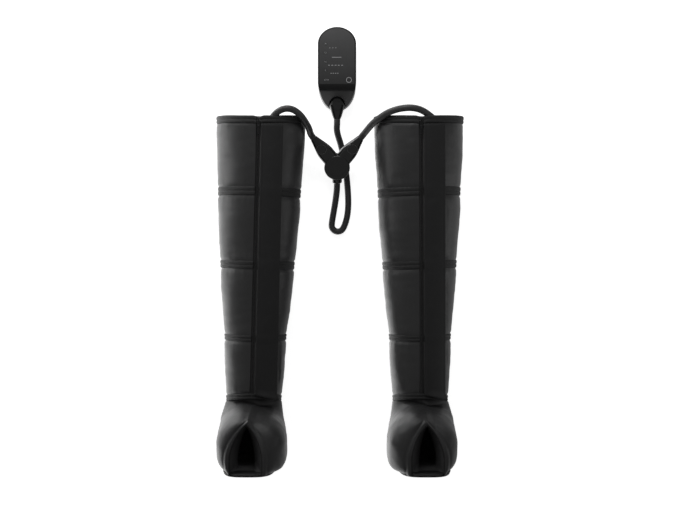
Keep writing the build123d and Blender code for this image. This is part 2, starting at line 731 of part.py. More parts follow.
boot_plugs = {}
plug_buttons = {}
for name in sleeve_names:
    button_spot = arm_plane(name, plug_button_distance).origin
    button_plane = Plane(origin=button_spot, x_dir=hub_plane.x_dir, z_dir=hub_plane.z_dir)
    button_floor = button_rim_top - plug_button_height - plug_button_travel - fit_gap

    with BuildPart() as boot_plug:
        for distance, width, thickness in boot_plug_sections:
            with BuildSketch(arm_plane(name, distance)):
                RectangleRounded(width, thickness, min(arm_corner, thickness / 2 - plug_flat))
        loft()
        for distance, width, thickness in (boot_plug_sections[-1], boot_plug_tip):
            with BuildSketch(arm_plane(name, distance)):
                RectangleRounded(width, thickness, thickness / 2 - plug_flat)
        loft()
        with BuildSketch(arm_plane(name, arm_length)):
            RectangleRounded(spigot_width, spigot_thickness, spigot_corner)
        extrude(amount=-spigot_length)
        with BuildSketch(button_plane.offset(button_floor)):
            Circle(plug_button_radius + fit_gap + button_rim_width)
        extrude(amount=button_rim_top - button_floor)
        with BuildSketch(button_plane.offset(button_floor)):
            Circle(plug_button_radius + fit_gap)
        extrude(amount=plug_button_height + arm_thickness, mode=Mode.SUBTRACT)
    boot_plugs[name] = boot_plug

    dish_sphere = (plug_button_radius**2 + plug_button_dish**2) / (2 * plug_button_dish)
    with BuildPart() as plug_button:
        with BuildSketch(button_plane.offset(button_rim_top - plug_button_height)):
            Circle(plug_button_radius)
        extrude(amount=plug_button_height)
        fillet(plug_button.faces().sort_by(Axis(button_spot, hub_plane.z_dir))[-1].edges(), plug_button_dish / 2)
        with Locations(button_plane.offset(button_rim_top - plug_button_dish + dish_sphere)):
            Sphere(dish_sphere, mode=Mode.SUBTRACT)
    plug_buttons[name] = plug_button


# ---------------------------------------------------------------- hoses

def hose_radii(points):
    # Each bend is as wide as its shorter run allows.
    corners = [Vector(point) for point in points]
    radii = []
    for before, corner, after in zip(corners, corners[1:], corners[2:]):
        run_in, run_out = corner - before, after - corner
        half_turn = radians(run_in.get_angle(run_out)) / 2
        radii.append(bend_share * min(run_in.length, run_out.length) / tan(half_turn))
    return radii


def build_hose(points):
    with BuildPart() as hose:
        with BuildLine() as route:
            FilletPolyline(*points, radius=hose_radii(points))
        with BuildSketch(Plane(origin=route.line @ 0, z_dir=route.line % 0)):
            Circle(hose_radius)
        sweep()
    return hose


def gland_plane(name):
    along_ridge = rim_x[name] + gland_offset
    half_width = (sleeve_widths[0] - sleeve_wall) / 2
    half_depth = (sleeve_depths[0] - sleeve_wall) / 2
    rise = half_depth * (1 - (gland_offset / half_width) ** 2) ** 0.5
    centre_z = rim_ridge_height - sleeve_depths[0] / 2
    return Plane(origin=(along_ridge, rim_y, centre_z + rise), z_dir=gland_lean[name])


def exit_run(face, length):
    # A hose leaves a face square to it.
    return [face.origin, face.offset(length).origin]


pump_plug_face = plug_plane(plug_tail_y)
hose_runs = {"pump_hose": [*exit_run(pump_plug_face, plug_exit), *pump_hose_points,
                           *reversed(exit_run(collar_plane(collar_reach), plug_exit))]}
for name, points in (("left", left_hose_points), ("right", right_hose_points)):
    hose_runs[f"{name}_boot_hose"] = [*exit_run(gland_plane(name).offset(gland_reach), gland_exit), *points,
                                      *reversed(exit_run(arm_plane(name, boot_plug_tip[0]), plug_exit))]
hoses = {name: build_hose(points) for name, points in hose_runs.items()}
for name, hose in hoses.items():
    length = hose.part.volume / (pi * hose_radius**2)
    print(name, "length", round(length), "radii", [round(radius) for radius in hose_radii(hose_runs[name])])


# ---------------------------------------------------------------- leg sleeves

stations = (rim_y, *seam_ys)


def between(values, y):
    # Value at y from the values held at the rim and the seams; the end slopes run on past them.
    for index in range(len(stations) - 1):
        if y >= stations[index + 1] or index == len(stations) - 2:
            share = (stations[index] - y) / (stations[index] - stations[index + 1])
            return values[index] + share * (values[index + 1] - values[index])


def ridge_point(name, y):
    share = (rim_y - y) / (rim_y - seam_ys[-1])
    x = rim_x[name] + share * (ankle_x[name] - rim_x[name])
    z = rim_ridge_height + share * (ankle_ridge_height - rim_ridge_height)
    return Vector(x, y, z)


def sleeve_plane(name, y):
    # Across the sleeve at y, centred on it, with local y up.
    ridge = ridge_point(name, y)
    centre_z = ridge.Z - between(sleeve_depths, y) / 2
    return Plane(origin=(ridge.X, y, centre_z), x_dir=(1, 0, 0), z_dir=(0, -1, 0))


def draw_sleeve_ring(y, grow, swell=0):
    # The swell widens the sides alone: the zip's ridge stays straight and the back clear of the floor.
    Ellipse(between(sleeve_widths, y) / 2 + grow + swell / 2, between(sleeve_depths, y) / 2 + grow)


def ridge_plane(name, distance, rise=0):
    # On the sleeve's front ridge, a distance below the rim: local x runs to the ankle, z is outwards.
    start = ridge_point(name, rim_y)
    run = (ridge_point(name, seam_ys[-1]) - start).normalized()
    side = run.cross(Vector(0, 0, 1)).normalized()
    normal = side.cross(run)
    return Plane(origin=start + run * distance + normal * rise, x_dir=run, z_dir=normal)


ridge_length = (ridge_point("left", seam_ys[-1]) - ridge_point("left", rim_y)).length


def draw_groove(name):
    Rectangle(ridge_length, groove_width, align=(Align.MIN, Align.CENTER))


def foot_plane(name, sole_side, instep_side):
    # Local x is across the foot and local y runs from the sole to the instep.
    middle_y = (sole_side[0] + instep_side[0]) / 2
    middle_z = (sole_side[1] + instep_side[1]) / 2
    up = Vector(0, instep_side[0] - sole_side[0], instep_side[1] - sole_side[1])
    return Plane(origin=(ankle_x[name], middle_y, middle_z), x_dir=(1, 0, 0),
                 z_dir=Vector(1, 0, 0).cross(up.normalized()))


def foot_span(sole_side, instep_side):
    return ((instep_side[0] - sole_side[0]) ** 2 + (instep_side[1] - sole_side[1]) ** 2) ** 0.5


def build_foot(name, hollow):
    # The foot's outer form, or the hollow inside its walls. A crease across the instep
    # parts the run from the ankle from the smooth run up to the toes.
    with BuildPart() as foot:
        for run in (foot_sections[:2], foot_sections[1:]):
            for sole_side, instep_side, width, corner, wall in run:
                inset = wall if hollow else 0
                with BuildSketch(foot_plane(name, sole_side, instep_side)):
                    RectangleRounded(width - 2 * inset, foot_span(sole_side, instep_side) - 2 * inset,
                                     corner - inset)
            if run[-1] is foot_sections[-1] and not hollow:
                with BuildSketch(foot_plane(name, foot_end[0], foot_end[1])):
                    RectangleRounded(foot_end[2], foot_span(foot_end[0], foot_end[1]), foot_end[3])
            loft()
    return foot


for name in sleeve_names:
    with BuildPart() as cavity:
        for y in (rim_y + sleeve_wall, *stations, seam_ys[-1] - sleeve_wall):
            with BuildSketch(sleeve_plane(name, y)):
                draw_sleeve_ring(y, -sleeve_wall)
        loft(ruled=True)

    # The four leg chambers: a swollen middle between two recessed necks for the bands.
    upper_necks = (binding_height, *[height / 2 for height in band_heights[:-1]])
    lower_necks = [height / 2 for height in band_heights]
    for index, chamber_name in enumerate(chamber_names):
        top_y, foot_y = stations[index], stations[index + 1]
        body_top, body_foot = top_y - upper_necks[index], foot_y + lower_necks[index]
        swell_y = body_top - swell_place * (body_top - body_foot)
        with BuildPart() as chamber:
            for y, swell in ((body_top, 0), (swell_y, chamber_swell[index]), (body_foot, 0)):
                with BuildSketch(sleeve_plane(name, y)):
                    draw_sleeve_ring(y, 0, swell)
            loft()
            for y, reach in ((top_y, upper_necks[index]), (foot_y, -lower_necks[index])):
                with BuildSketch(sleeve_plane(name, y)):
                    draw_sleeve_ring(y, -band_recess)
                extrude(amount=reach)
            add(cavity.part, mode=Mode.SUBTRACT)
            with BuildSketch(ridge_plane(name, 0, -groove_depth)):
                draw_groove(name)
            extrude(amount=2 * groove_depth, mode=Mode.SUBTRACT)
            if index == 0:
                with BuildSketch(gland_plane(name).offset(gland_reach - gland_length - fit_gap)):
                    Circle(gland_radius + fit_gap)
                extrude(amount=gland_length + sleeve_wall, mode=Mode.SUBTRACT)
        write(chamber, f"{name}_{chamber_name}_chamber")

    # Bands over the seams, open at the zip.
    with BuildPart() as zone_bands:
        for y, height in zip(seam_ys, band_heights):
            with BuildSketch(sleeve_plane(name, y)):
                draw_sleeve_ring(y, band_thickness + fit_gap - band_recess)
                Ellipse(between(sleeve_widths, y) / 2 + fit_gap - band_recess,
                        between(sleeve_depths, y) / 2 + fit_gap - band_recess, mode=Mode.SUBTRACT)
                with Locations((0, between(sleeve_depths, y) / 2)):
                    Rectangle(groove_width, 4 * band_thickness, mode=Mode.SUBTRACT)
            extrude(amount=height / 2 - fit_gap, both=True)
    write(zone_bands, f"{name}_zone_bands")

    with BuildPart() as top_binding:
        binding_foot = rim_y - binding_height + fit_gap
        outer_grow = binding_thickness + fit_gap - band_recess
        with BuildSketch(sleeve_plane(name, rim_y + binding_cap)):
            draw_sleeve_ring(rim_y, outer_grow)
        extrude(amount=binding_height + binding_cap - fit_gap)
        with BuildSketch(sleeve_plane(name, rim_y)):
            draw_sleeve_ring(rim_y, fit_gap - band_recess)
        extrude(amount=binding_height, mode=Mode.SUBTRACT)
        with BuildSketch(sleeve_plane(name, rim_y + binding_cap)):
            draw_sleeve_ring(rim_y, -2 * binding_thickness)
        extrude(amount=binding_height, mode=Mode.SUBTRACT)
        with BuildSketch(ridge_plane(name, -binding_height, -groove_depth - binding_thickness)):
            Rectangle(4 * binding_height, groove_width, align=(Align.MIN, Align.CENTER))
        extrude(amount=4 * groove_depth, mode=Mode.SUBTRACT)
        with BuildSketch(gland_plane(name).offset(-gland_length)):
            Circle(gland_radius + gland_notch)
        extrude(amount=2 * gland_length, mode=Mode.SUBTRACT)
    write(top_binding, f"{name}_top_binding")

    with BuildPart() as front_flap:
        flap_top = rim_y - binding_height - fit_gap
        flap_stations = (flap_top, *seam_ys[:-1], flap_foot_y)
        for y in flap_stations:
            with BuildSketch(sleeve_plane(name, y)):
                draw_sleeve_ring(y, flap_thickness + band_thickness)
        loft(ruled=True)
        for y in flap_stations:
            with BuildSketch(sleeve_plane(name, y)):
                draw_sleeve_ring(y, band_thickness)
        loft(ruled=True, mode=Mode.SUBTRACT)
        with BuildSketch(ridge_plane(name, 0, -sleeve_depths[0] / 3)):
            with Locations((0, flap_offset)):
                Rectangle(2 * ridge_length, flap_width, align=(Align.CENTER, Align.MIN))
        extrude(amount=sleeve_depths[0], mode=Mode.INTERSECT)
    write(front_flap, f"{name}_front_flap")

    # Zip: a tape on the groove's floor with its coil, then the slider and its pull.
    with BuildPart() as zipper_track:
        track_length = ridge_length - 2 * zip_start
        with BuildSketch(ridge_plane(name, zip_start, -groove_depth)):
            Rectangle(track_length, tape_width, align=(Align.MIN, Align.CENTER))
        extrude(amount=tape_thickness)
        with BuildSketch(ridge_plane(name, zip_start, tape_thickness - groove_depth)):
            Rectangle(track_length, coil_width, align=(Align.MIN, Align.CENTER))
        extrude(amount=coil_height)
    write(zipper_track, f"{name}_zipper_track")

    slider_foot = tape_thickness + fit_gap - groove_depth
    slider_arch = tape_thickness + coil_height + fit_gap - groove_depth
    slider_top = slider_arch + slider_plate
    pin_rise = pull_eye_radius + pull_clearance
    pin_distance = slider_start + slider_length / 2 - ear_length / 2
    with BuildPart() as zipper_slider:
        with BuildSketch(ridge_plane(name, slider_start, slider_foot)):
            RectangleRounded(slider_length, slider_width, slider_width / 4)
        extrude(amount=slider_top - slider_foot)
        with BuildSketch(ridge_plane(name, slider_start, slider_foot)):
            Rectangle(2 * slider_length, coil_width + 2 * fit_gap)
        extrude(amount=slider_arch - slider_foot, mode=Mode.SUBTRACT)
        with BuildSketch(ridge_plane(name, pin_distance, slider_top)):
            with GridLocations(0, slider_width - ear_thickness - 2 * fit_gap, 1, 2):
                Rectangle(ear_length, ear_thickness)
        extrude(amount=pin_rise + pull_eye_radius - slider_top)
        pin_plane = ridge_plane(name, pin_distance, pin_rise)
        with BuildSketch(Plane(origin=pin_plane.origin, x_dir=pin_plane.x_dir, z_dir=pin_plane.y_dir)):
            Circle(pull_pin_radius + pin_hole_gap)
        extrude(amount=slider_width, both=True, mode=Mode.SUBTRACT)
    write(zipper_slider, f"{name}_zipper_slider")

    pull_width = slider_width - 2 * ear_thickness - 4 * fit_gap
    with BuildPart() as zipper_pull:
        across_plane = Plane(origin=pin_plane.origin, x_dir=pin_plane.x_dir, z_dir=pin_plane.y_dir)
        with BuildSketch(across_plane):
            Circle(pull_eye_radius)
        extrude(amount=pull_width / 2, both=True)
        with BuildSketch(across_plane):
            Circle(pull_pin_radius)
        extrude(amount=slider_width / 2 - fit_gap, both=True)
        with BuildSketch(ridge_plane(name, pin_distance, pin_rise - pull_thickness / 2)):
            with Locations((pull_length / 2, 0)):
                SlotOverall(pull_length, pull_width)
            with Locations((pull_length / 4, 0)):
                Rectangle(pull_length / 2, pull_width)
            with Locations((pull_length - pull_width, 0)):
                Circle(pull_width / 5, mode=Mode.SUBTRACT)
        extrude(amount=pull_thickness)
    write(zipper_pull, f"{name}_zipper_pull")

    # Foot: a chamber that turns from the leg's line to the upright foot, open at the toes.
    foot_form = build_foot(name, hollow=False)
    foot_cavity = build_foot(name, hollow=True)
    with BuildPart() as foot_chamber:
        add(foot_form.part)
        with BuildSketch(sleeve_plane(name, seam_ys[-1])):
            draw_sleeve_ring(seam_ys[-1], -band_recess)
        extrude(amount=band_heights[-1])
        add(foot_cavity.part, mode=Mode.SUBTRACT)
        with BuildSketch(sleeve_plane(name, seam_ys[-1])):
            draw_sleeve_ring(seam_ys[-1], -sleeve_wall)
        extrude(amount=band_heights[-1], mode=Mode.SUBTRACT)
        with BuildSketch(Plane.XZ.offset(-sole_y - sole_thickness)):
            with Locations((ankle_x[name], foot_end[0][1] / 2)):
                Rectangle(sleeve_widths[0], 2 * foot_end[0][1])
        extrude(amount=2 * sole_thickness, mode=Mode.SUBTRACT)
        toe_middle = ankle_x[name] + outward[name] * toe_offset
        with BuildSketch(Plane.XY.offset(foot_sections[5][1][1] - sleeve_wall)):
            with BuildLine():
                for side in (-1, 1):
                    ThreePointArc((toe_middle, toe_apex_y), (toe_middle + side * toe_bow[0], toe_bow[1]),
                                  (toe_middle + side * toe_half_width, toe_spring_y))
                    Line((toe_middle + side * toe_half_width, toe_spring_y),
                         (toe_middle + side * toe_half_width, sole_y))
                Line((toe_middle - toe_half_width, sole_y), (toe_middle + toe_half_width, sole_y))
            make_face()
        extrude(amount=4 * sleeve_wall, mode=Mode.SUBTRACT)
    write(foot_chamber, f"{name}_foot_chamber")

    with BuildPart() as sole:
        add(foot_form.part)
        with BuildSketch(Plane.XZ.offset(-sole_y - sole_thickness + fit_gap)):
            with Locations((ankle_x[name], foot_end[0][1] / 2)):
                Rectangle(sleeve_widths[0], 2 * foot_end[0][1])
        extrude(amount=2 * sole_thickness, mode=Mode.INTERSECT)
    write(sole, f"{name}_sole")

    with BuildPart() as hose_gland:
        with BuildSketch(gland_plane(name).offset(gland_reach - gland_length)):
            Circle(gland_radius)
        extrude(amount=gland_length)
        chamfer(hose_gland.edges().filter_by(GeomType.CIRCLE), gland_chamfer)
    write(hose_gland, f"{name}_hose_gland")

    write(boot_plugs[name], f"{name}_boot_plug")
    write(plug_buttons[name], f"{name}_plug_button")

for name, hose in hoses.items():
    write(hose, name)
for name, key in panel_keys.items():
    write(key, f"{name}_key")
write(start_button, "start_button")
write(pump_top_shell, "pump_top_shell")
write(pump_base_shell, "pump_base_shell")
write(face_panel, "face_panel")
write(indicator_lights, "indicator_lights")
write(rubber_feet, "rubber_feet")
write(case_screws, "case_screws")
write(circuit_board, "circuit_board")
write(battery_pack, "battery_pack")
write(compressor_motor, "compressor_motor")
write(compressor_head, "compressor_head")
write(compressor_crank, "compressor_crank")
write(valve_manifold, "valve_manifold")
write(solenoid_valves, "solenoid_valves")
write(hose_socket, "hose_socket")
write(charge_inlet, "charge_inlet")
write(pump_plug, "pump_plug")
write(pump_plug_latch, "pump_plug_latch")
write(hub_upper_cover, "hub_upper_cover")
write(hub_lower_cover, "hub_lower_cover")
write(hub_collar, "hub_collar")
write(hub_screws, "hub_screws")
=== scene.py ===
import json
from math import atan2, cos, exp, hypot, pi, radians, sin, sqrt

import bmesh
import bpy
from mathutils import Matrix, Vector, noise


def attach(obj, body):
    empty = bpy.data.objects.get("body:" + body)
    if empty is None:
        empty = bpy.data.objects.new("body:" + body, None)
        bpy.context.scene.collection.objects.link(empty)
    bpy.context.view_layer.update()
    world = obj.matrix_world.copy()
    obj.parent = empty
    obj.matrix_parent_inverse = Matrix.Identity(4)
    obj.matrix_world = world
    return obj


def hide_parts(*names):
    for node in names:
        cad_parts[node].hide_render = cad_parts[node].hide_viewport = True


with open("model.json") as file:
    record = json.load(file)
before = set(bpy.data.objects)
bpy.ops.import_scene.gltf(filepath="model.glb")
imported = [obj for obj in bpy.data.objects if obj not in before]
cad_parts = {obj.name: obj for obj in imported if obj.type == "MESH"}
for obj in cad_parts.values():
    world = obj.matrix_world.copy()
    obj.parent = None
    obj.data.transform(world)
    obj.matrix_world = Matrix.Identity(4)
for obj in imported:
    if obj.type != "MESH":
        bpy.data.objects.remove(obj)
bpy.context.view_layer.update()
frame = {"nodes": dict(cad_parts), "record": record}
nodes = frame["nodes"]
mm = 0.001
print("frame loaded")

# studio: pale floor, soft light, camera straight above
studio = {
    "cameraPlace": (0, -0.03, 2.9), "lens": 53.735, "sensor": 36, "floorSize": 14,
    "floorTone": 0.86, "floorGlow": 0.86, "worldLight": 0.20, "worldShine": 0.30,
    "floorShine": {   # how bright the floor looks in reflections, and the turns over which that changes
        "fromRight": 0.30, "fromLeft": 2.3, "turnOver": 0.3, "headShare": 0.4, "headTurn": (-0.5, -0.1),
        "corner": 3.5, "cornerWay": (0.42, -0.9, 0), "cornerTurn": (0.6, 0.95),
    },
    "lamps": {   # place, aimed at, size, power, tone
        "keyLeft": ((-2.3, 0.5, 1.15), (0, 0.1, 0.1), (1.1, 2.0), 2.5, 1.0),
        "rimLeft": ((-1.9, 0.3, 0.22), (0, 0.3, 0.1), (0.4, 1.2), 5, 1.0),
        "toeKey": ((-1.15, 1.6, 0.6), (0, -0.45, 0.2), (0.5, 0.5), 8, 1.0),
        "fillTop": ((-0.1, 1.2, 1.0), (0, 0.5, 0.1), (0.8, 0.4), 5, 1.0),
        "rimRight": ((2.1, -0.1, 0.5), (0, -0.1, 0.1), (0.5, 2.4), 4, 1.0),
    },
}


def link(thing):
    bpy.context.scene.collection.objects.link(thing)
    return thing


scene = bpy.context.scene
scene.view_settings.view_transform = "Standard"
cameraData = bpy.data.cameras.new("camera")
cameraData.sensor_width = studio["sensor"]
cameraData.lens = studio["lens"]
camera = link(bpy.data.objects.new("camera", cameraData))
camera.location = studio["cameraPlace"]
scene.camera = camera

for lampName, (place, aim, size, power, tone) in studio["lamps"].items():
    lampData = bpy.data.lights.new(lampName, "AREA")
    lampData.shape = "RECTANGLE"
    lampData.size, lampData.size_y = size
    lampData.energy = power
    lampData.color = (tone, tone, tone)
    lamp = link(bpy.data.objects.new(lampName, lampData))
    lamp.location = place
    lamp.rotation_euler = (Vector(aim) - Vector(place)).to_track_quat("-Z", "Y").to_euler()


def newNode(tree, kind, inputs=None, **settings):
    made = tree.nodes.new(kind)
    for key, value in settings.items():
        setattr(made, key, value)
    for key, value in (inputs or {}).items():
        if isinstance(value, bpy.types.NodeSocket):
            tree.links.new(value, made.inputs[key])
        else:
            made.inputs[key].default_value = value
    return made


def calc(tree, operation, first, second=0.0, third=0.0):
    return newNode(tree, "ShaderNodeMath", {0: first, 1: second, 2: third}, operation=operation).outputs[0]


def mapRange(tree, value, fromLow, fromHigh, toLow, toHigh):
    inputs = {0: value, 1: fromLow, 2: fromHigh, 3: toLow, 4: toHigh}
    return newNode(tree, "ShaderNodeMapRange", inputs).outputs[0]


def rayKinds(tree):
    # rays that see a thing directly or through glass, then rays that mirror it
    rays = newNode(tree, "ShaderNodeLightPath").outputs
    return calc(tree, "MAXIMUM", rays["Is Camera Ray"], rays["Is Transmission Ray"]), rays["Is Glossy Ray"]


world = bpy.data.worlds.new("studioWorld")
scene.world = world
world.use_nodes = True
tree = world.node_tree
tree.nodes.clear()
seen, glossy = rayKinds(tree)
whole = calc(tree, "MAXIMUM", seen, calc(tree, "MULTIPLY", glossy, studio["worldShine"]))
strength = calc(tree, "MAXIMUM", whole, studio["worldLight"])
sky = newNode(tree, "ShaderNodeBackground", {"Color": (1, 1, 1, 1), "Strength": strength})
newNode(tree, "ShaderNodeOutputWorld", {"Surface": sky.outputs[0]})

floorMaterial = bpy.data.materials.new("paleFloor")
floorMaterial.use_nodes = True
tree = floorMaterial.node_tree
tree.nodes.clear()
seen, glossy = rayKinds(tree)
tone = studio["floorTone"]
matte = newNode(tree, "ShaderNodeBsdfDiffuse", {"Color": (tone, tone, tone, 1)})
lit = calc(tree, "MULTIPLY", seen, studio["floorGlow"])
incoming = newNode(tree, "ShaderNodeNewGeometry").outputs["Incoming"]
spots = newNode(tree, "ShaderNodeSeparateXYZ", {0: incoming})
floorShine = studio["floorShine"]
shine = mapRange(tree, spots.outputs[0], -floorShine["turnOver"], floorShine["turnOver"],
                 floorShine["fromRight"], floorShine["fromLeft"])
# a surface that faces the pump's end mirrors less of the left side and more of the far left corner
headward = mapRange(tree, spots.outputs[1], *floorShine["headTurn"], floorShine["headShare"], 1.0)
sideShine = calc(tree, "MULTIPLY", shine, headward)
toCorner = newNode(tree, "ShaderNodeVectorMath", {0: incoming, 1: floorShine["cornerWay"]},
                   operation="DOT_PRODUCT")
corner = mapRange(tree, toCorner.outputs["Value"], *floorShine["cornerTurn"], 0.0, floorShine["corner"])
mirrored = calc(tree, "MULTIPLY_ADD", glossy, calc(tree, "ADD", sideShine, corner), lit)
glow = newNode(tree, "ShaderNodeEmission", {"Color": (1, 1, 1, 1), "Strength": mirrored})
both = newNode(tree, "ShaderNodeAddShader", {0: matte.outputs[0], 1: glow.outputs[0]})
newNode(tree, "ShaderNodeOutputMaterial", {"Surface": both.outputs[0]})

floorForm = bmesh.new()
bmesh.ops.create_grid(floorForm, x_segments=1, y_segments=1, size=studio["floorSize"] / 2)
floorMesh = bpy.data.meshes.new("floor")
floorForm.to_mesh(floorMesh)
floorForm.free()
floorMesh.materials.append(floorMaterial)
link(bpy.data.objects.new("floor", floorMesh))
print("studio ready")


# shader groups shared by the materials
def newGroup(name, inputs, outputs):
    group = bpy.data.node_groups.new(name, "ShaderNodeTree")
    for label, kind, value in inputs:
        made = group.interface.new_socket(label, in_out="INPUT", socket_type=kind)
        if value is not None:
            made.default_value = value
    for label, kind in outputs:
        group.interface.new_socket(label, in_out="OUTPUT", socket_type=kind)
    return group, group.nodes.new("NodeGroupInput"), group.nodes.new("NodeGroupOutput")


# two threads crossing, as a height from 0 to 1
weaveGroup, weaveIn, weaveOut = newGroup(
    "threadWeave", [("Vector", "NodeSocketVector", None), ("Threads", "NodeSocketFloat", 900.0)],
    [("Height", "NodeSocketFloat")])
spots = newNode(weaveGroup, "ShaderNodeSeparateXYZ", {0: weaveIn.outputs["Vector"]})
waves = []
for axis in ("X", "Y"):
    turn = calc(weaveGroup, "MULTIPLY", spots.outputs[axis], weaveIn.outputs["Threads"])
    waves.append(calc(weaveGroup, "SINE", calc(weaveGroup, "MULTIPLY", turn, 2 * pi)))
crossed = calc(weaveGroup, "MULTIPLY", waves[0], waves[1])
weaveGroup.links.new(calc(weaveGroup, "MULTIPLY_ADD", crossed, 0.5, 0.5), weaveOut.inputs["Height"])

# slow cloudy change of tone, with fine grain over it
finer = 38.0   # times that the grain is finer than the cloud
driftGroup, driftIn, driftOut = newGroup(
    "toneDrift", [("Vector", "NodeSocketVector", None), ("Scale", "NodeSocketFloat", 12.0),
                  ("Grain", "NodeSocketFloat", 0.2)],
    [("Mask", "NodeSocketFloat")])
cloud = newNode(driftGroup, "ShaderNodeTexNoise",
                {"Vector": driftIn.outputs["Vector"], "Scale": driftIn.outputs["Scale"], "Detail": 3.0})
fineScale = calc(driftGroup, "MULTIPLY", driftIn.outputs["Scale"], finer)
fine = newNode(driftGroup, "ShaderNodeTexNoise",
               {"Vector": driftIn.outputs["Vector"], "Scale": fineScale, "Detail": 2.0})
grain = newNode(driftGroup, "ShaderNodeMix",
                {0: driftIn.outputs["Grain"], 2: cloud.outputs[0], 3: fine.outputs[0]})
driftGroup.links.new(grain.outputs[0], driftOut.inputs["Mask"])

# rubbed and handled patches: a sparse mask from stretched noise
rubGroup, rubIn, rubOut = newGroup(
    "handling", [("Vector", "NodeSocketVector", None), ("Scale", "NodeSocketFloat", 20.0),
                 ("Amount", "NodeSocketFloat", 0.4)],
    [("Mask", "NodeSocketFloat")])
patch = newNode(rubGroup, "ShaderNodeTexNoise",
                {"Vector": rubIn.outputs["Vector"], "Scale": rubIn.outputs["Scale"],
                 "Detail": 5.0, "Roughness": 0.7, "Distortion": 0.6})
rubbedMask = mapRange(rubGroup, patch.outputs[0], 0.5, 0.72, 0.0, rubIn.outputs["Amount"])
rubGroup.links.new(rubbedMask, rubOut.inputs["Mask"])

# what a look has unless it says otherwise; a rubbed patch is lighter and rougher
plainLook = {"grain": 0.25, "rubScale": 30.0, "rub": 0.3, "rubRough": 0.12, "rubTone": 1.9, "rubLift": 0.01,
             "roughSpread": (0.25, 0.75), "sockets": {}}


def makeMaterial(name, look, cloth=False):
    look = {**plainLook, **look}
    material = bpy.data.materials.new(name)
    material.use_nodes = True
    tree = material.node_tree
    shader = tree.nodes["Principled BSDF"]
    vector = newNode(tree, "ShaderNodeTexCoord").outputs["Object"]
    drift = newNode(tree, "ShaderNodeGroup", node_tree=driftGroup, inputs={
        "Vector": vector, "Scale": look["driftScale"], "Grain": look["grain"]}).outputs["Mask"]
    rub = newNode(tree, "ShaderNodeGroup", node_tree=rubGroup, inputs={
        "Vector": vector, "Scale": look["rubScale"], "Amount": look["rub"]}).outputs["Mask"]
    low, high = look["tones"]
    lighter = [min(1, look["rubTone"] * part + look["rubLift"]) for part in high]
    colours = newNode(tree, "ShaderNodeMix", {0: drift, 6: (*low, 1), 7: (*high, 1)}, data_type="RGBA")
    rubbed = newNode(tree, "ShaderNodeMix", {0: rub, 6: colours.outputs[2], 7: (*lighter, 1)},
                     data_type="RGBA")
    finalColour = rubbed.outputs[2]
    if "fade" in look:
        # painted light: darkens along one axis, from its head to its foot, in place of the panel's reflected
        # sheen falling off
        axis, foot, head, least = look["fade"]
        spots = newNode(tree, "ShaderNodeSeparateXYZ", {0: vector})
        dim = mapRange(tree, spots.outputs[axis], foot, head, least, 1.0)
        paintedShadeColour = newNode(tree, "ShaderNodeVectorMath", {0: finalColour, "Scale": dim}, operation="SCALE")
        finalColour = paintedShadeColour.outputs[0]
    tree.links.new(finalColour, shader.inputs["Base Color"])
    rough = mapRange(tree, drift, *look["roughSpread"], *look["rough"])
    tree.links.new(calc(tree, "MULTIPLY_ADD", rub, look["rubRough"], rough), shader.inputs["Roughness"])
    height = drift
    if cloth:
        weaveMap = newNode(tree, "ShaderNodeUVMap", uv_map="cloth")
        weave = newNode(tree, "ShaderNodeGroup", node_tree=weaveGroup, inputs={
            "Vector": weaveMap.outputs[0], "Threads": look["threads"]})
        height = calc(tree, "MULTIPLY_ADD", weave.outputs["Height"], look["weave"], drift)
    bump = newNode(tree, "ShaderNodeBump", {
        "Strength": look["bump"], "Distance": look["bumpDepth"], "Height": height})
    tree.links.new(bump.outputs[0], shader.inputs["Normal"])
    for socket, value in look["sockets"].items():
        shader.inputs[socket].default_value = value
    return material


def grey(low, high):
    # two tones, each a trace bluer than neutral
    return [(low, low, low * 1.02), (high, high, high * 1.02)]


looks = {
    "sleeveNylon": dict(
        tones=grey(0.014, 0.022), rough=(0.34, 0.46), driftScale=9, threads=900, weave=0.6, bump=0.12,
        bumpDepth=0.0006, rub=0.12, rubScale=14, sockets={"Sheen Weight": 0.12, "Sheen Roughness": 0.4}),
    "footNylon": dict(
        tones=grey(0.018, 0.026), rough=(0.42, 0.50), driftScale=11, threads=900, weave=0.5, bump=0.10,
        bumpDepth=0.0006, rub=0.1, rubScale=16, sockets={"Specular IOR Level": 0.3}),
    "bandTape": dict(
        tones=grey(0.008, 0.014), rough=(0.50, 0.62), driftScale=22, threads=520, weave=1.2, bump=0.35,
        bumpDepth=0.0006, rub=0.15, rubScale=40, sockets={"Specular IOR Level": 0.35}),
    "flapCloth": dict(
        tones=grey(0.017, 0.024), rough=(0.60, 0.72), driftScale=10, threads=900, weave=0.6, bump=0.15,
        bumpDepth=0.0005, rub=0.12, rubScale=22, sockets={"Specular IOR Level": 0.22}),
    # painted light: the lining inside the toe opening is lighter than the foot cloth, standing in for light
    # reaching into the hollow
    "paintedLightLiner": dict(
        tones=grey(0.045, 0.06), rough=(0.65, 0.8), driftScale=10, threads=700, weave=0.9, bump=0.2,
        bumpDepth=0.0006, rub=0.1, sockets={"Specular IOR Level": 0.3}),
    "zipNylon": dict(
        tones=grey(0.008, 0.013), rough=(0.35, 0.5), driftScale=60, threads=1400, weave=0.8, bump=0.2,
        bumpDepth=0.0003, rub=0.2, rubScale=60),
    "hoseRubber": dict(
        tones=grey(0.022, 0.032), rough=(0.45, 0.58), driftScale=30, threads=700, weave=0.8, bump=0.15,
        bumpDepth=0.0004, rub=0.18, rubScale=30),
}
clothMaterials = {name: makeMaterial(name, look, cloth=True) for name, look in looks.items()}

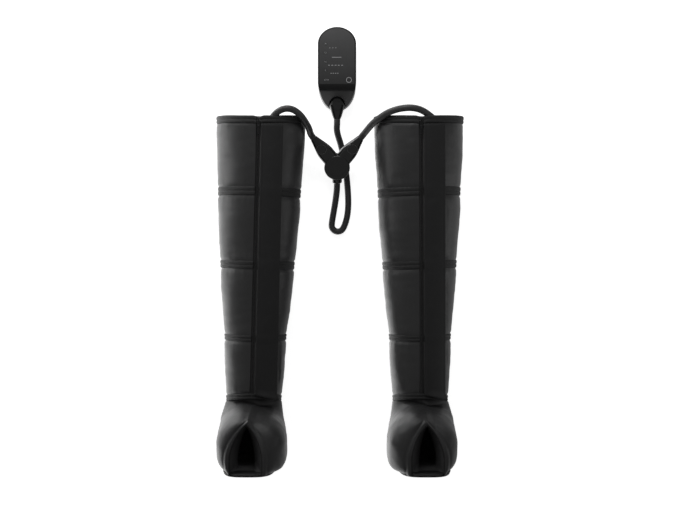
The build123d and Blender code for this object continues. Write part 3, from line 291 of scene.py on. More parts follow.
hardLooks = {
    "case_plastic": dict(
        tones=grey(0.005, 0.008), rough=(0.36, 0.44), driftScale=14, bump=0.12, bumpDepth=0.0002, grain=0.8,
        rub=0.12, sockets={"Specular IOR Level": 0.25}),
    "panel_gloss": dict(
        tones=grey(0.052, 0.062), rough=(0.30, 0.38), driftScale=10, bump=0.03, bumpDepth=0.0001, grain=0.3,
        # painted light: the fade darkens the panel's colour towards its foot, standing in for its sheen
        # falling off
        rub=0.1, fade=(1, 0.44, 0.60, 0.22)),
    "light_lens": dict(
        tones=grey(0.30, 0.36), rough=(0.3, 0.4), driftScale=30, bump=0.02, bumpDepth=0.0001, rub=0.0),
    "rubber": dict(
        tones=grey(0.010, 0.016), rough=(0.7, 0.85), driftScale=60, bump=0.3, bumpDepth=0.0003, grain=0.7,
        rub=0.3),
    "steel": dict(
        tones=grey(0.42, 0.52), rough=(0.25, 0.4), driftScale=80, bump=0.05, bumpDepth=0.0001, rub=0.2,
        sockets={"Metallic": 1.0}),
    "board": dict(
        tones=[(0.01, 0.07, 0.03), (0.015, 0.1, 0.045)], rough=(0.3, 0.45), driftScale=60, bump=0.05,
        bumpDepth=0.0001, rub=0.1),
    "cell_wrap": dict(
        tones=[(0.02, 0.04, 0.14), (0.03, 0.06, 0.2)], rough=(0.3, 0.4), driftScale=20, bump=0.05,
        bumpDepth=0.0003, rub=0.1),
    "motor_can": dict(
        tones=grey(0.35, 0.48), rough=(0.3, 0.45), driftScale=40, bump=0.05, bumpDepth=0.0001, rub=0.2,
        sockets={"Metallic": 1.0}),
    "inner_plastic": dict(
        tones=grey(0.04, 0.06), rough=(0.45, 0.55), driftScale=20, bump=0.1, bumpDepth=0.0002, grain=0.8,
        rub=0.1),
    "valve_body": dict(
        tones=grey(0.45, 0.55), rough=(0.4, 0.5), driftScale=30, bump=0.05, bumpDepth=0.0002, rub=0.1),
    "plug_plastic": dict(
        tones=grey(0.007, 0.010), rough=(0.16, 0.24), driftScale=25, bump=0.06, bumpDepth=0.0002, grain=0.5,
        rub=0.1, rubScale=50),
    "zip_metal": dict(
        tones=grey(0.012, 0.02), rough=(0.3, 0.42), driftScale=90, bump=0.08, bumpDepth=0.0001, rub=0.5,
        rubScale=120, sockets={"Metallic": 0.7}),
}
hardMaterials = {name: makeMaterial(name, look) for name, look in hardLooks.items()}
markMaterial = makeMaterial("printedMark", dict(
    tones=grey(0.42, 0.5), rough=(0.45, 0.55), driftScale=90, bump=0.03, bumpDepth=0.0001, rub=0.0))

for part in frame["record"]["subparts"]:
    finish = hardMaterials.get(part["material_slot"])
    if finish:
        nodes[part["node"]].data.materials.clear()
        nodes[part["node"]].data.materials.append(finish)
print("materials ready")

# hoses: each follows its own points, in millimetres
hoseLook = {"radius": 9 * mm, "resolution": 24, "ring": 10}
hoseRoutes = {
    "pumpHoseTube": dict(
        node="pump_hose", length=0.488, onIt=("pump_plug", "pump_plug_latch"), farEnd="object",
        points=[(-8.3, 353.5, 36), (-8.3, 339.5, 36), (-9.4, 326, 32), (-7.0, 312, 26), (-2.6, 299, 19.5),
                (2.4, 284, 13.5), (8.5, 258, 9.6), (14, 226, 9.3), (18.5, 194, 9.6), (21.4, 164, 9.2),
                (23.4, 134, 9.4), (23.4, 106, 9.2), (20.6, 80, 9.3), (14.5, 57, 9.3), (5.5, 39, 9.3),
                (-11, 35.5, 9.4), (-24, 46.8, 9.5), (-23.2, 63.5, 9.7), (-19.2, 86, 11), (-14.6, 113, 13.5),
                (-10.4, 140, 18), (-8.3, 162.109, 25.798), (-8.3, 174.797, 31.714)]),
    "leftBootHoseTube": dict(
        node="left_boot_hose", length=0.198, onIt=("left_boot_plug", "left_plug_button"), farEnd="plug",
        points=[(-181.88, 338.56, 174.545), (-176.841, 345.578, 177.064), (-164, 356, 183),
                (-147, 362.5, 186), (-127, 361, 182), (-109, 350, 170), (-95, 333.5, 145),
                (-84.2, 316.5, 113), (-81.564, 303.287, 91.63), (-72.944, 293.289, 86.968)]),
    "rightBootHoseTube": dict(
        node="right_boot_hose", length=0.263, onIt=("right_boot_plug", "right_plug_button"), farEnd="plug",
        points=[(249.441, 338.1, 174.584), (242.424, 343.047, 177.283), (229, 352.5, 182.5),
                (211, 360.5, 188), (188, 364, 190), (164, 362.3, 187), (142, 357.5, 180.5), (122, 349.5, 170),
                (104, 338, 156), (90, 329, 138), (76.5, 316, 113), (64.964, 303.287, 91.63),
                (56.344, 293.289, 86.968)]),
}
for hoseName, route in hoseRoutes.items():
    line = bpy.data.curves.new(hoseName, "CURVE")
    line.dimensions = "3D"
    spline = line.splines.new("NURBS")
    spline.points.add(len(route["points"]) - 1)
    for point, spot in zip(spline.points, route["points"]):
        point.co = (*[part * mm for part in spot], 1)
    spline.order_u = 3
    spline.use_endpoint_u = True
    line.resolution_u = hoseLook["resolution"]
    line.bevel_depth = hoseLook["radius"]
    line.bevel_resolution = hoseLook["ring"]
    line.use_fill_caps = True
    line.materials.append(clothMaterials["hoseRubber"])
    hose = link(bpy.data.objects.new(hoseName, line))
    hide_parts(route["node"])
    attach(hose, "outfit")
print("hoses ready")


def newVerts(result):
    return [part for part in result["geom"] if isinstance(part, bmesh.types.BMVert)]


def asPiece(name, form, *materials):
    mesh = bpy.data.meshes.new(name)
    form.to_mesh(mesh)
    form.free()
    for material in materials:
        mesh.materials.append(material)
    return link(bpy.data.objects.new(name, mesh))


# lofted cloth forms
def loft(name, loops, material, closed=False, capped=False, lining=None):
    # closed runs back to the first loop; capped fills both end loops
    # lining is a row and the material from there on
    form = bmesh.new()
    cloth = form.loops.layers.uv.new("cloth")
    if closed:
        loops = [*loops, loops[0]]
    count = len(loops[0])
    middle = loops[len(loops) // 2]
    around, along = [0.0], [0.0]
    for first, second in zip(middle, [*middle[1:], middle[0]]):
        around.append(around[-1] + (second - first).length)
    for first, second in zip(loops, loops[1:]):
        strides = [(b - a).length for a, b in zip(first[::8], second[::8])]   # every eighth point is enough
        along.append(along[-1] + sum(strides) / len(strides))
    ring = list(bmesh.ops.create_circle(form, segments=count, radius=1)["verts"])
    tags = {}
    for row, loop in enumerate(loops):
        if row:
            edges = [form.edges.get(pair) for pair in zip(ring, [*ring[1:], ring[0]])]
            made = set(newVerts(bmesh.ops.extrude_edge_only(form, edges=edges)))
            ring = [next(edge.other_vert(vert) for edge in vert.link_edges if edge.other_vert(vert) in made)
                    for vert in ring]
        for column, (vert, spot) in enumerate(zip(ring, loop)):
            vert.co = spot
            tags[vert] = (row, column)
        if capped and row in (0, len(loops) - 1):
            bmesh.ops.contextual_create(form, geom=ring)
    for face in form.faces:
        columns = [tags[corner.vert][1] for corner in face.loops]
        wraps = max(columns) - min(columns) > count / 2
        for corner in face.loops:
            row, column = tags[corner.vert]
            if wraps and column == 0:
                column = count
            corner[cloth].uv = (around[column], along[row])
        face.smooth = True
        if lining:
            face.material_index = int(min(tags[corner.vert][0] for corner in face.loops) >= lining[0])
    bmesh.ops.remove_doubles(form, verts=form.verts, dist=1e-6)
    bmesh.ops.recalc_face_normals(form, faces=form.faces)
    return asPiece(name, form, material, *([lining[1]] if lining else []))


def finishPiece(piece, replaced, body="outfit"):
    if replaced:
        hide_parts(*replaced)
    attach(piece, body)
    return piece


def ease(value, low, high):
    share = max(0.0, min(1.0, (value - low) / (high - low)))
    return share * share * (3 - 2 * share)


def mix(first, second, share):
    return first + (second - first) * share


def ovalReach(turn, halfWide, halfHigh, power):
    # from the middle of an oval to its edge; the higher the power, the squarer the oval
    return (abs(sin(turn) / halfWide) ** power + abs(cos(turn) / halfHigh) ** power) ** (-1 / power)


# leg sleeves: the form that every piece of a sleeve lies on, in millimetres
sleeve = {
    "rimY": 337, "seams": (142, -57, -256, -419),
    "widths": (244, 227, 203, 169, 152), "depths": (188, 178, 166, 149, 138),
    "rimX": {"left": -217, "right": 217}, "ankleX": {"left": -238.5, "right": 222},
    "rimRidge": 190, "ankleRidge": 155, "wall": 24, "around": 176, "crowding": 0.82,
    "bandHeights": (24, 22, 17, 17), "bandRise": (0, 0, 0, 14), "bandSlant": (3.2, 2.8, 1.0, 0),
    "bandDrop": (0, 0, 0, 8), "rimLift": (5.0, 12.5),
    "hoseAt": {"left": -181.88, "right": 249.441}, "hoseRoom": 9.4, "hoseDeep": 12.0,
}
stations = (sleeve["rimY"], *sleeve["seams"])
outward = {"left": -1, "right": 1}


def between(values, y):
    # a size at y, from its values at the rim and at the four seams
    for index in range(4):
        if y >= stations[index + 1] or index == 3:
            share = (stations[index] - y) / (stations[index] - stations[index + 1])
            return mix(values[index], values[index + 1], share)


def section(side, y):
    share = (sleeve["rimY"] - y) / (sleeve["rimY"] - sleeve["seams"][-1])
    x = mix(sleeve["rimX"][side], sleeve["ankleX"][side], share)
    ridge = mix(sleeve["rimRidge"], sleeve["ankleRidge"], share)
    halfDeep = between(sleeve["depths"], y) / 2
    return x, ridge - halfDeep, between(sleeve["widths"], y) / 2, halfDeep


def onSleeve(side, y, turn, grow):
    x, z, halfWide, halfDeep = section(side, y)
    return Vector((x + (halfWide + grow) * sin(turn), y, z + (halfDeep + grow) * cos(turn))) * mm


def turnAt(side, y, across):
    # the turn from the ridge at which a point lies that far to the right of the zip
    share = across / section(side, y)[2]
    return atan2(share, sqrt(max(0.0001, 1 - share ** 2)))


def seamY(side, index, turn):
    # where a seam runs at that turn; the rim stands highest at the sides
    if index == 0:
        return stations[0] + mix(*sleeve["rimLift"], sin(turn) ** 2)
    front = max(0.0, cos(turn))
    return (stations[index] + sleeve["bandRise"][index - 1] * front - sleeve["bandDrop"][index - 1]
            + sleeve["bandSlant"][index - 1] * outward[side] * sin(turn))


turns = [2 * pi * step / sleeve["around"] - pi for step in range(sleeve["around"])]
turns = [turn - sleeve["crowding"] * sin(turn) for turn in turns]

chamber = {
    "rows": 44, "swell": (2.5, 3.0, 3.0, 2.5), "neck": 2.0, "shoulder": (-3, 9), "pucker": 1.1, "dent": 1.5,
    "groove": 6.0, "grooveHalf": 5.5,
    "calm": (6, 22),   # across from the zip: flat up to the first, full from the second
    "sliderRoom": 0.7, "sliderEnd": (-395, -370),   # the groove widens for the slider at the zip's end
    "rimBand": 36, "seamGap": 0.4, "strip": (4, 70), "underStrip": 1.4, "besideZip": 0.5,
}


def puff(side, index, turn, y, topY, footY, topBand, footBand):
    # how far the air-filled skin stands off the plain form
    share = max(0.0, min(1.0, (topY - y) / (topY - footY)))
    fromTop, fromFoot = topY - y - topBand / 2, y - footY - footBand / 2
    shoulder = min(ease(fromTop, *chamber["shoulder"]), ease(fromFoot, *chamber["shoulder"]))
    swell = chamber["swell"][index] * sin(pi * share ** 0.68) * abs(sin(turn)) ** 0.7
    spot = onSleeve(side, y, turn, 0) / mm
    arc = turn * section(side, y)[2]
    seed = 31.7 * index + (0 if side == "left" else 57.3)
    pucker = 0.0
    for gap, shift in ((fromTop, 0.0), (fromFoot, 9.1)):
        fall = exp(-max(0.0, gap) / 16)
        wide = noise.noise(Vector((arc / 11, seed + shift, 0)))
        narrow = noise.noise(Vector((arc / 5.5, seed + shift, 4)))
        pucker += fall * (wide + 0.5 * narrow)
    slack = noise.noise(Vector((spot.x / 45, spot.y / 15, spot.z / 45 + seed)))
    dent = noise.noise(spot / 62 + Vector((seed, 0, 0))) + 0.45 * slack
    loose = chamber["pucker"] * pucker + chamber["dent"] * dent
    return -chamber["neck"] + shoulder * (chamber["neck"] + swell + loose)


def grooveDepth(side, y, turn):
    across = section(side, y)[2] * sin(turn)
    if cos(turn) < 0:
        return 0.0, 1.0
    half = chamber["grooveHalf"] + chamber["sliderRoom"] * (1 - ease(y, *chamber["sliderEnd"]))
    depth = chamber["groove"] * (1 - ease(abs(across), half - 1, half + 0.8))
    return depth, ease(abs(across), *chamber["calm"])


def chamberLoops(side, index):
    topBand = chamber["rimBand"] if index == 0 else sleeve["bandHeights"][index - 1]
    footBand = sleeve["bandHeights"][index]
    stripFrom, stripTo = chamber["strip"]
    outer, inner = [], []
    for row in range(chamber["rows"] + 1):
        share = row / chamber["rows"]
        outerLoop, innerLoop = [], []
        for turn in turns:
            topY, footY = seamY(side, index, turn), seamY(side, index + 1, turn)
            y = mix(topY - chamber["seamGap"], footY + chamber["seamGap"], share)
            stand = puff(side, index, turn, y, topY, footY, topBand, footBand)
            depth, calm = grooveDepth(side, y, turn)
            across = section(side, y)[2] * sin(turn)
            if cos(turn) > 0 and stripFrom < across < stripTo:
                stand = min(stand, chamber["underStrip"])
            stand = mix(min(stand, chamber["besideZip"]), stand, calm) - depth
            outerLoop.append(onSleeve(side, y, turn, stand))
            rough = noise.noise(onSleeve(side, y, turn, 0) / mm / 40)
            inset = sleeve["wall"] + 1.5 * sin(pi * share) - 1.0 + 1.2 * rough
            innerLoop.append(onSleeve(side, y, turn, -inset))
        outer.append(outerLoop)
        inner.append(innerLoop)
    return outer, inner[::-1]


chamberNames = ("thigh", "knee", "calf", "ankle")
for side in outward:
    for index, chamberName in enumerate(chamberNames):
        outer, inner = chamberLoops(side, index)
        skinName = f"{side}{chamberName.capitalize()}Skin"
        piece = loft(skinName, outer + inner, clothMaterials["sleeveNylon"], closed=True)
        finishPiece(piece, [f"{side}_{chamberName}_chamber"])
print("chambers ready")

# bands over the seams, and the binding of the rim
band = {"thick": 2.9, "under": 1.6, "across": 9, "steps": 110, "crowding": 0.35, "endShare": 0.04,
        "zipRoom": 0.3, "ankleGap": 0.2, "flat": 0.84}


def tapeProfile(height):
    # points round a tape's section, two humps wide: along the leg, then outwards
    points = []
    for step in range(-band["across"], band["across"] + 1):
        spot = step / band["across"]
        rounded = sqrt(max(0.0, 1 - max(0.0, (abs(spot) - band["flat"]) / 0.16) ** 2))
        hump = 0.55 + 0.45 * abs(sin(pi * spot)) ** 0.6
        points.append((-spot * height / 2, band["thick"] * rounded * hump))
    for step in range(band["across"], -band["across"] - 1, -3):
        points.append((-step / band["across"] * height / 2, -band["under"] * 0.25))
    return points


def turnRound(gap, share):
    # from one side of the zip round the leg to its other side, with more points at the ends
    turn = mix(gap, 2 * pi - gap, share)
    turn -= band["crowding"] * sin(turn)
    if share < 0.5:
        return mix(gap, turn, ease(share, 0, band["endShare"]))
    return mix(2 * pi - gap, turn, ease(1 - share, 0, band["endShare"]))


def bandLoop(side, index, turn, profile):
    middleY = seamY(side, index, turn)
    loop = []
    for up, out in profile:
        uneven = 0.25 * noise.noise(Vector((turn * 9, index, up / 9)))
        loop.append(onSleeve(side, middleY + up, turn, out - band["under"] + uneven))
    return loop


binding = {
    "steps": 140, "zipRoom": 0.6, "dip": -4.0,
    "fold": (   # up the leg, outwards
        (-19, -1.6), (-18.6, 0.6), (-16.5, 1.9), (-13.5, 2.2), (-10.6, 1.7), (-9.6, 0.9), (-8.4, 1.6),
        (-5, 2.3), (-2, 2.1), (0.2, 1.3), (1.3, -0.6), (1.6, -2.8), (1.2, -5.2), (-1, -6.6), (-6, -6.9),
        (-9, -6.2), (-9, -4), (-3, -3.2), (-1.6, -2.6), (-6, -2.4), (-12, -2.2)),
}


def bindingLoop(side, turn):
    # a tape folded over the rim, whose corners dip at the zip
    rimY = sleeve["rimY"]
    fromZip = abs(section(side, rimY)[2] * sin(turn)) if cos(turn) > 0 else 99
    dip = binding["dip"] * exp(-max(0.0, fromZip - 5.5) / 3.5)
    wave = 0.5 * noise.noise(Vector((turn * 4, 3.3, outward[side])))
    edgeY = seamY(side, 0, turn) + dip + wave
    # the inner leaf bends round the hose where it comes out of the wall
    beside = onSleeve(side, rimY, turn, -sleeve["hoseDeep"]).x / mm - sleeve["hoseAt"][side]
    leastOut = -99.0
    if cos(turn) > 0 and abs(beside) < sleeve["hoseRoom"]:
        leastOut = sqrt(sleeve["hoseRoom"] ** 2 - beside ** 2) - sleeve["hoseDeep"]
    return [onSleeve(side, edgeY + up, turn, max(out, leastOut)) for up, out in binding["fold"]]


for side in outward:
    bandForms = []
    for index in range(1, 5):
        profile = tapeProfile(sleeve["bandHeights"][index - 1])
        # the ankle band closes over the zip's end, the others stop at its groove
        halfGap = band["ankleGap"] if index == 4 else chamber["grooveHalf"] + band["zipRoom"]
        gap = turnAt(side, stations[index], halfGap)
        loops = [bandLoop(side, index, turnRound(gap, step / band["steps"]), profile)
                 for step in range(band["steps"] + 1)]
        bandForms.append(loft(f"{side}Band{index}", loops, clothMaterials["bandTape"], capped=True))
    for piece in bandForms:
        finishPiece(piece, [f"{side}_zone_bands"])
    gap = turnAt(side, sleeve["rimY"], chamber["grooveHalf"] + binding["zipRoom"])
    loops = [bindingLoop(side, turnRound(gap, step / binding["steps"]))
             for step in range(binding["steps"] + 1)]
    piece = loft(f"{side}RimBinding", loops, clothMaterials["bandTape"], capped=True)
    finishPiece(piece, [f"{side}_top_binding"])
print("bands ready")

# the flat strip beside the zip, sewn along all its edges and curled at its foot
flap = {
    "near": 7.0, "wide": 57.0, "topY": 321.5, "footNear": -412.0, "footFar": -428.0, "long": 740, "rows": 190,
    "low": 1.7, "thick": 2.2, "curl": 7.0, "curlRun": 22, "hem": 0.35, "ripple": 0.5, "overBand": 0.9,
    "edgeRound": 1.4, "endRound": 1.6, "stitchIn": 6, "stitchEnd": 7,
    "across": (0, 0.012, 0.03, 0.06, 0.09, 0.105, 0.12, 0.2, 0.3, 0.4, 0.5,
               0.6, 0.7, 0.8, 0.88, 0.895, 0.91, 0.94, 0.97, 0.988, 1),
}


def rounding(fromEdge, radius):
    return sqrt(max(0.0, 1 - max(0.0, 1 - fromEdge / radius) ** 2))


def stripSpot(side, spot, share, onTop):
    part = spot / flap["wide"]
    footY = mix(flap["footNear"], flap["footFar"], part ** 1.3)
    y = mix(flap["topY"], footY, share)
    turn = turnAt(side, y, flap["near"] + spot)
    edge = min(part, 1 - part) * flap["wide"]
    ripple = flap["ripple"] * noise.noise(Vector((spot / 40, y / 38, 7 * outward[side]))) * ease(edge, 0, 12)
    overBand = sum(flap["overBand"] * exp(-((y - seamY(side, index, turn))
                                            / (sleeve["bandHeights"][index - 1] * 0.62)) ** 4)
                   for index in range(1, 5))
    lift = (flap["low"] + overBand + ripple
            + flap["curl"] * (1 - ease(y - footY, 0, flap["curlRun"])) * ease(part, 0.05, 0.5))
    if not onTop:
        return onSleeve(side, y, turn, lift)
    endEdge = min(share, 1 - share) * flap["long"]
    rounded = rounding(edge, flap["edgeRound"]) * rounding(endEdge, flap["endRound"])
    stitchDip = (0.5 * exp(-((edge - flap["stitchIn"]) / 0.9) ** 2)
                 + 0.5 * exp(-((endEdge - flap["stitchEnd"]) / 1.0) ** 2))
    hem = flap["hem"] * (1 - ease(edge, 5, 7))
    return onSleeve(side, y, turn, lift + (flap["thick"] * rounded + hem * rounded - stitchDip))


for side in outward:
    across = [flap["wide"] * part for part in flap["across"]]
    loops = []
    for row in range(flap["rows"] + 1):
        share = row / flap["rows"]
        loops.append([stripSpot(side, spot, share, True) for spot in across]
                     + [stripSpot(side, spot, share, False) for spot in across[::-2]])
    piece = loft(f"{side}FrontStrip", loops, clothMaterials["flapCloth"], capped=True)
    finishPiece(piece, [f"{side}_front_flap"])
print("front strips ready")

# zips: a tape with two rows of coil turns
zipper = {
    "rows": 120, "start": 4, "pitch": 2.3, "toothHalf": (1.55, 0.62, 0.95), "offset": 0.85, "toothDeep": 3.75,
    "stagger": 0.25,
    "tape": ((-5.1, -5.9), (-5.2, -5.2), (-4.6, -4.9), (-2.8, -4.9), (-2.2, -4.7), (0, -4.7), (2.2, -4.7),
             (2.8, -4.9), (4.6, -4.9), (5.2, -5.2), (5.1, -5.9), (0, -6.0)),   # across, outwards
}
for side in outward:
    start, end = onSleeve(side, sleeve["rimY"], 0, 0), onSleeve(side, sleeve["seams"][-1], 0, 0)
    run = end - start
    length = run.length
    run.normalize()
    right = run.cross(Vector((0, 0, 1))).normalized() * -1
    rise = right.cross(run) * -1
    if rise.z < 0:
        rise = -rise
    loops = []
    for row in range(zipper["rows"] + 1):
        taped = row / zipper["rows"] * (length - 2 * zipper["start"] * mm)
        spot = start + run * (zipper["start"] * mm + taped)
        loops.append([spot + right * (place * mm) + rise * (up * mm) for place, up in zipper["tape"]])
    tape = loft(f"{side}ZipTape", loops, clothMaterials["zipNylon"], capped=True)
    finishPiece(tape, [f"{side}_zipper_track"])
    teeth = bmesh.new()
    teeth.loops.layers.uv.new("cloth")
    turnAcross = Matrix((right, run, rise)).transposed().to_4x4()
    toothSize = Matrix.Diagonal((*[part * mm for part in zipper["toothHalf"]], 1))
    for number in range(int((length / mm - 2 * zipper["start"]) / zipper["pitch"])):
        for hand in (-1, 1):
            down = (zipper["start"] + (number + zipper["stagger"] * hand + 0.5) * zipper["pitch"]) * mm
            beside = right * (hand * zipper["offset"] * mm)
            spot = start + run * down + beside - rise * (zipper["toothDeep"] * mm)
            placed = Matrix.Translation(spot) @ turnAcross @ toothSize
            bmesh.ops.create_icosphere(teeth, subdivisions=1, radius=1, matrix=placed)
    for face in teeth.faces:
        face.smooth = True
    coil = asPiece(f"{side}ZipCoil", teeth, clothMaterials["zipNylon"])
    finishPiece(coil, [f"{side}_zipper_track"])
print("zips ready")

# feet: outer skin, rolled lips round the toe opening, and the hollow behind them
foot = {
    "sections": (   # sole side and instep side (y, z), width, lean towards the other leg, wall
        ((-427.5, 17.0), (-427.5, 154.6), 152, 0, 24), ((-520, 5), (-434, 164), 171, -3.5, 23),
        ((-580, 21), (-437, 184), 180, -1.5, 22), ((-599, 80), (-441, 208), 185, 1, 21),
        ((-599, 152), (-446, 232), 185, 4, 20), ((-599, 222), (-454, 253), 183, 4.5, 18)),
    "roundness": 2.0, "square": {"instep": 2.2, "outer": 4.0, "inner": 5.6}, "crowding": 0.35,
    "steps": 9, "sideSteps": 41, "capSteps": 24, "around": 208, "centreY": -540, "archSteps": 24,
    "archRamp": 75, "lip": 14, "crease": 2.0, "roll": 3.2, "crumple": 0.8,
    "seed": {"left": 3.1, "right": 8.6},
    "mouth": {"offset": 4, "apexY": -471, "springY": -555, "halfWide": 43, "baseY": -597,
              "apexZ": 277, "baseZ": 302},
    "throat": {"offset": 7.5, "apexY": -486, "springY": -566, "halfWide": 21, "baseY": -584,
               "apexZ": 218, "baseZ": 236},
    "throatSteps": 6, "flareSteps": 4, "zipAt": {"left": 5.5, "right": 2.0},
    "neckDip": 9.0, "dive": 7.0, "drop": 9.0,   # how the skin leaves the ankle band
    "toeFlat": (585, 598),   # the crumples fade out between these, towards the sole
    "instep": (-524, -426), "swell": 4.5, "crest": 2.0, "fall": 6.0,
}
footTurns = [2 * pi * step / foot["around"] - pi for step in range(foot["around"])]
footTurns = [turn - foot["crowding"] * sin(turn) for turn in footTurns]


def smoothThrough(values, place):
    # Catmull-Rom through evenly spaced values
    index = min(int(place), len(values) - 2)
    share = place - index
    before, first = values[max(0, index - 1)], values[index]
    second, after = values[index + 1], values[min(len(values) - 1, index + 2)]
    return 0.5 * (2 * first + (second - before) * share
                  + (2 * before - 5 * first + 4 * second - after) * share ** 2
                  + (3 * first - before - 3 * second + after) * share ** 3)


def footLoop(side, place, hollow):
    rows = [(*sole, *instep, *rest) for sole, instep, *rest in foot["sections"]]
    here = [smoothThrough(values, place) for values in zip(*rows)]
    soleY, soleZ, instepY, instepZ, width, lean, wall = here
    inset = wall if hollow else 0
    halfWide = width / 2 - inset
    middleX = sleeve["ankleX"][side] - outward[side] * lean
    middle = Vector((middleX, (soleY + instepY) / 2, (soleZ + instepZ) / 2))
    up = Vector((0, instepY - soleY, instepZ - soleZ)) / 2
    halfLong = up.length - inset
    up.normalize()
    toToe = ease(place, 0, 4)
    loop = []
    for turn in footTurns:
        corner = foot["square"]["outer" if sin(turn) * outward[side] > 0 else "inner"]
        power = mix(foot["square"]["instep"], corner, ease(-cos(turn), -0.2, 0.4))
        power = mix(foot["roundness"], power, toToe)
        reach = ovalReach(turn, halfWide, halfLong, power)
        loop.append(middle + Vector((1, 0, 0)) * (reach * sin(turn)) + up * (reach * cos(turn)))
    return loop


def rayTo(outline, centre, turn):
    # how far a ray from the centre runs to the outline
    dx, dy = sin(turn), cos(turn)
    best = 0.0
    for (ax, ay), (bx, by) in zip(outline, [*outline[1:], outline[0]]):
        ex, ey = bx - ax, by - ay
        cross = dx * ey - dy * ex
        if abs(cross) < 1e-9:
            continue
        reach = ((ax - centre[0]) * ey - (ay - centre[1]) * ex) / cross
        along = ((ax - centre[0]) * dy - (ay - centre[1]) * dx) / cross
        if -1e-6 <= along <= 1 + 1e-6 and reach > best:
            best = reach
    return best


def footCentre(side):
    return sleeve["ankleX"][side] + outward[side] * foot["mouth"]["offset"], foot["centreY"]


def archLoop(side, arch):
    # a pointed arch round the toe opening, met by a ray at each turn
    x = sleeve["ankleX"][side] + outward[side] * arch["offset"]
    curve = []
    for step in range(foot["archSteps"] + 1):
        share = step / foot["archSteps"]
        half = arch["halfWide"] * (1 - (1 - share) ** 1.75) ** 0.92
        curve.append((half, mix(arch["apexY"], arch["springY"], share)))
    outline = [(x + half, y) for half, y in curve]
    outline += [(x + arch["halfWide"], arch["baseY"]), (x - arch["halfWide"], arch["baseY"])]
    outline += [(x - half, y) for half, y in curve[::-1]]
    centre = footCentre(side)
    loop = []
    for turn in footTurns:
        reach = rayTo(outline, centre, turn)
        x, y = centre[0] + reach * sin(turn), centre[1] + reach * cos(turn)
        rise = ease(-y, -arch["apexY"], foot["archRamp"] - arch["apexY"])
        loop.append(Vector((x, y, mix(arch["apexZ"], arch["baseZ"], rise))))
    return loop


def shapeInstep(side, spot, turn, strength=1.0):
    # a crest from the zip's end to the toe opening
    # it swells on the left, drops on the right and climbs back slowly
    farY, nearY = foot["instep"]
    if cos(turn) < -0.1 or not farY < spot.y < nearY:
        return spot
    atMouth = outward[side] * foot["mouth"]["offset"] + 2
    crest = sleeve["ankleX"][side] + mix(foot["zipAt"][side], atMouth, ease(-spot.y, 426, 471))
    across = spot.x - crest
    swell = foot["swell"] * exp(-((across + 26) / 22) ** 2)
    if across < 0:
        stand = swell + foot["crest"] * exp(across / 7)
    else:
        dropped = -foot["fall"] * (1 - ease(across, 26, 84))
        stand = mix(swell + foot["crest"], dropped, ease(across, -3, 20))
    fade = strength * ease(-spot.y, 426, 438) * (1 - ease(-spot.y, 456, 524))
    return spot + Vector((0, 0.6, 0.8)) * (fade * stand)


def crumple(spot, seed):
    wide = noise.noise(spot / 48 + Vector((seed, 0, 0)))
    narrow = 1 - abs(noise.noise(spot / 30 + Vector((0, seed, 0)))) * 3
    return foot["crumple"] * (1.5 * wide + 0.5 * narrow)


def seamLoop(side, below, grow):
    # a loop just under the ankle band's seam; grow gives the stand-off at each turn
    return [onSleeve(side, seamY(side, 4, turn) - below, turn, grow(turn)) / mm for turn in footTurns]


def sideLoop(side, step):
    # the skin dives under the ankle band before it fills out
    shaped = []
    for turn, spot in zip(footTurns, footLoop(side, step / foot["steps"], False)):
        front = max(0.0, cos(turn))
        away = (spot - Vector((sleeve["ankleX"][side], -530, 120))).normalized()
        loose = ease(step, 4, 12) * (1 - ease(-spot.y, *foot["toeFlat"]))
        rightward = mix(0.2, 1.0, ease(spot.x - sleeve["ankleX"][side], -30, 6))
        dive = -foot["dive"] * front * (1 - ease(step, 4, 12)) * rightward
        drop = Vector((0, 0, -foot["drop"] * front * (1 - ease(step, 2, 8))))
        moved = spot + away * (crumple(spot, foot["seed"][side]) * loose + dive) + drop
        shaped.append(shapeInstep(side, moved, turn))
    return shaped


def capSpot(low, lower, high, share):
    # a curve that leaves the side along it and reaches the mouth level
    rising = low + (low - lower).normalized() * (0.55 * (high - low).length)
    level = high + Vector((low.x - high.x, low.y - high.y, 0)) * 0.6
    return (low * (1 - share) ** 3 + rising * (3 * share * (1 - share) ** 2)
            + level * (3 * share ** 2 * (1 - share)) + high * share ** 3)


def capLoop(side, share, top, below, mouth):
    centre = footCentre(side)
    loop = []
    for turn, low, lower, high in zip(footTurns, top, below, mouth):
        spot = capSpot(low, lower, high, share)
        edge = hypot(high.x - spot.x, high.y - spot.y)
        roomy = ease(hypot(high.x - low.x, high.y - low.y), 12, 30)
        crease = -foot["crease"] * exp(-((edge - foot["lip"]) / 2.8) ** 2)
        roll = foot["roll"] * sin(pi * min(1, edge / foot["lip"]))
        spot.z += (crease + roll) * roomy
        away = Vector((spot.x - centre[0], spot.y - centre[1], 40)).normalized()
        flat = 1 - ease(-spot.y, *foot["toeFlat"])
        spot += away * (crumple(spot, foot["seed"][side]) * ease(edge, foot["lip"], 42) * flat)
        loop.append(shapeInstep(side, spot, turn, 1 - ease(share, 0.6, 1)))
    return loop


def throatSpot(high, low, share):
    return Vector((mix(high.x, low.x, share ** 1.1), mix(high.y, low.y, share ** 1.1),
                   mix(high.z, low.z, share ** 0.9)))


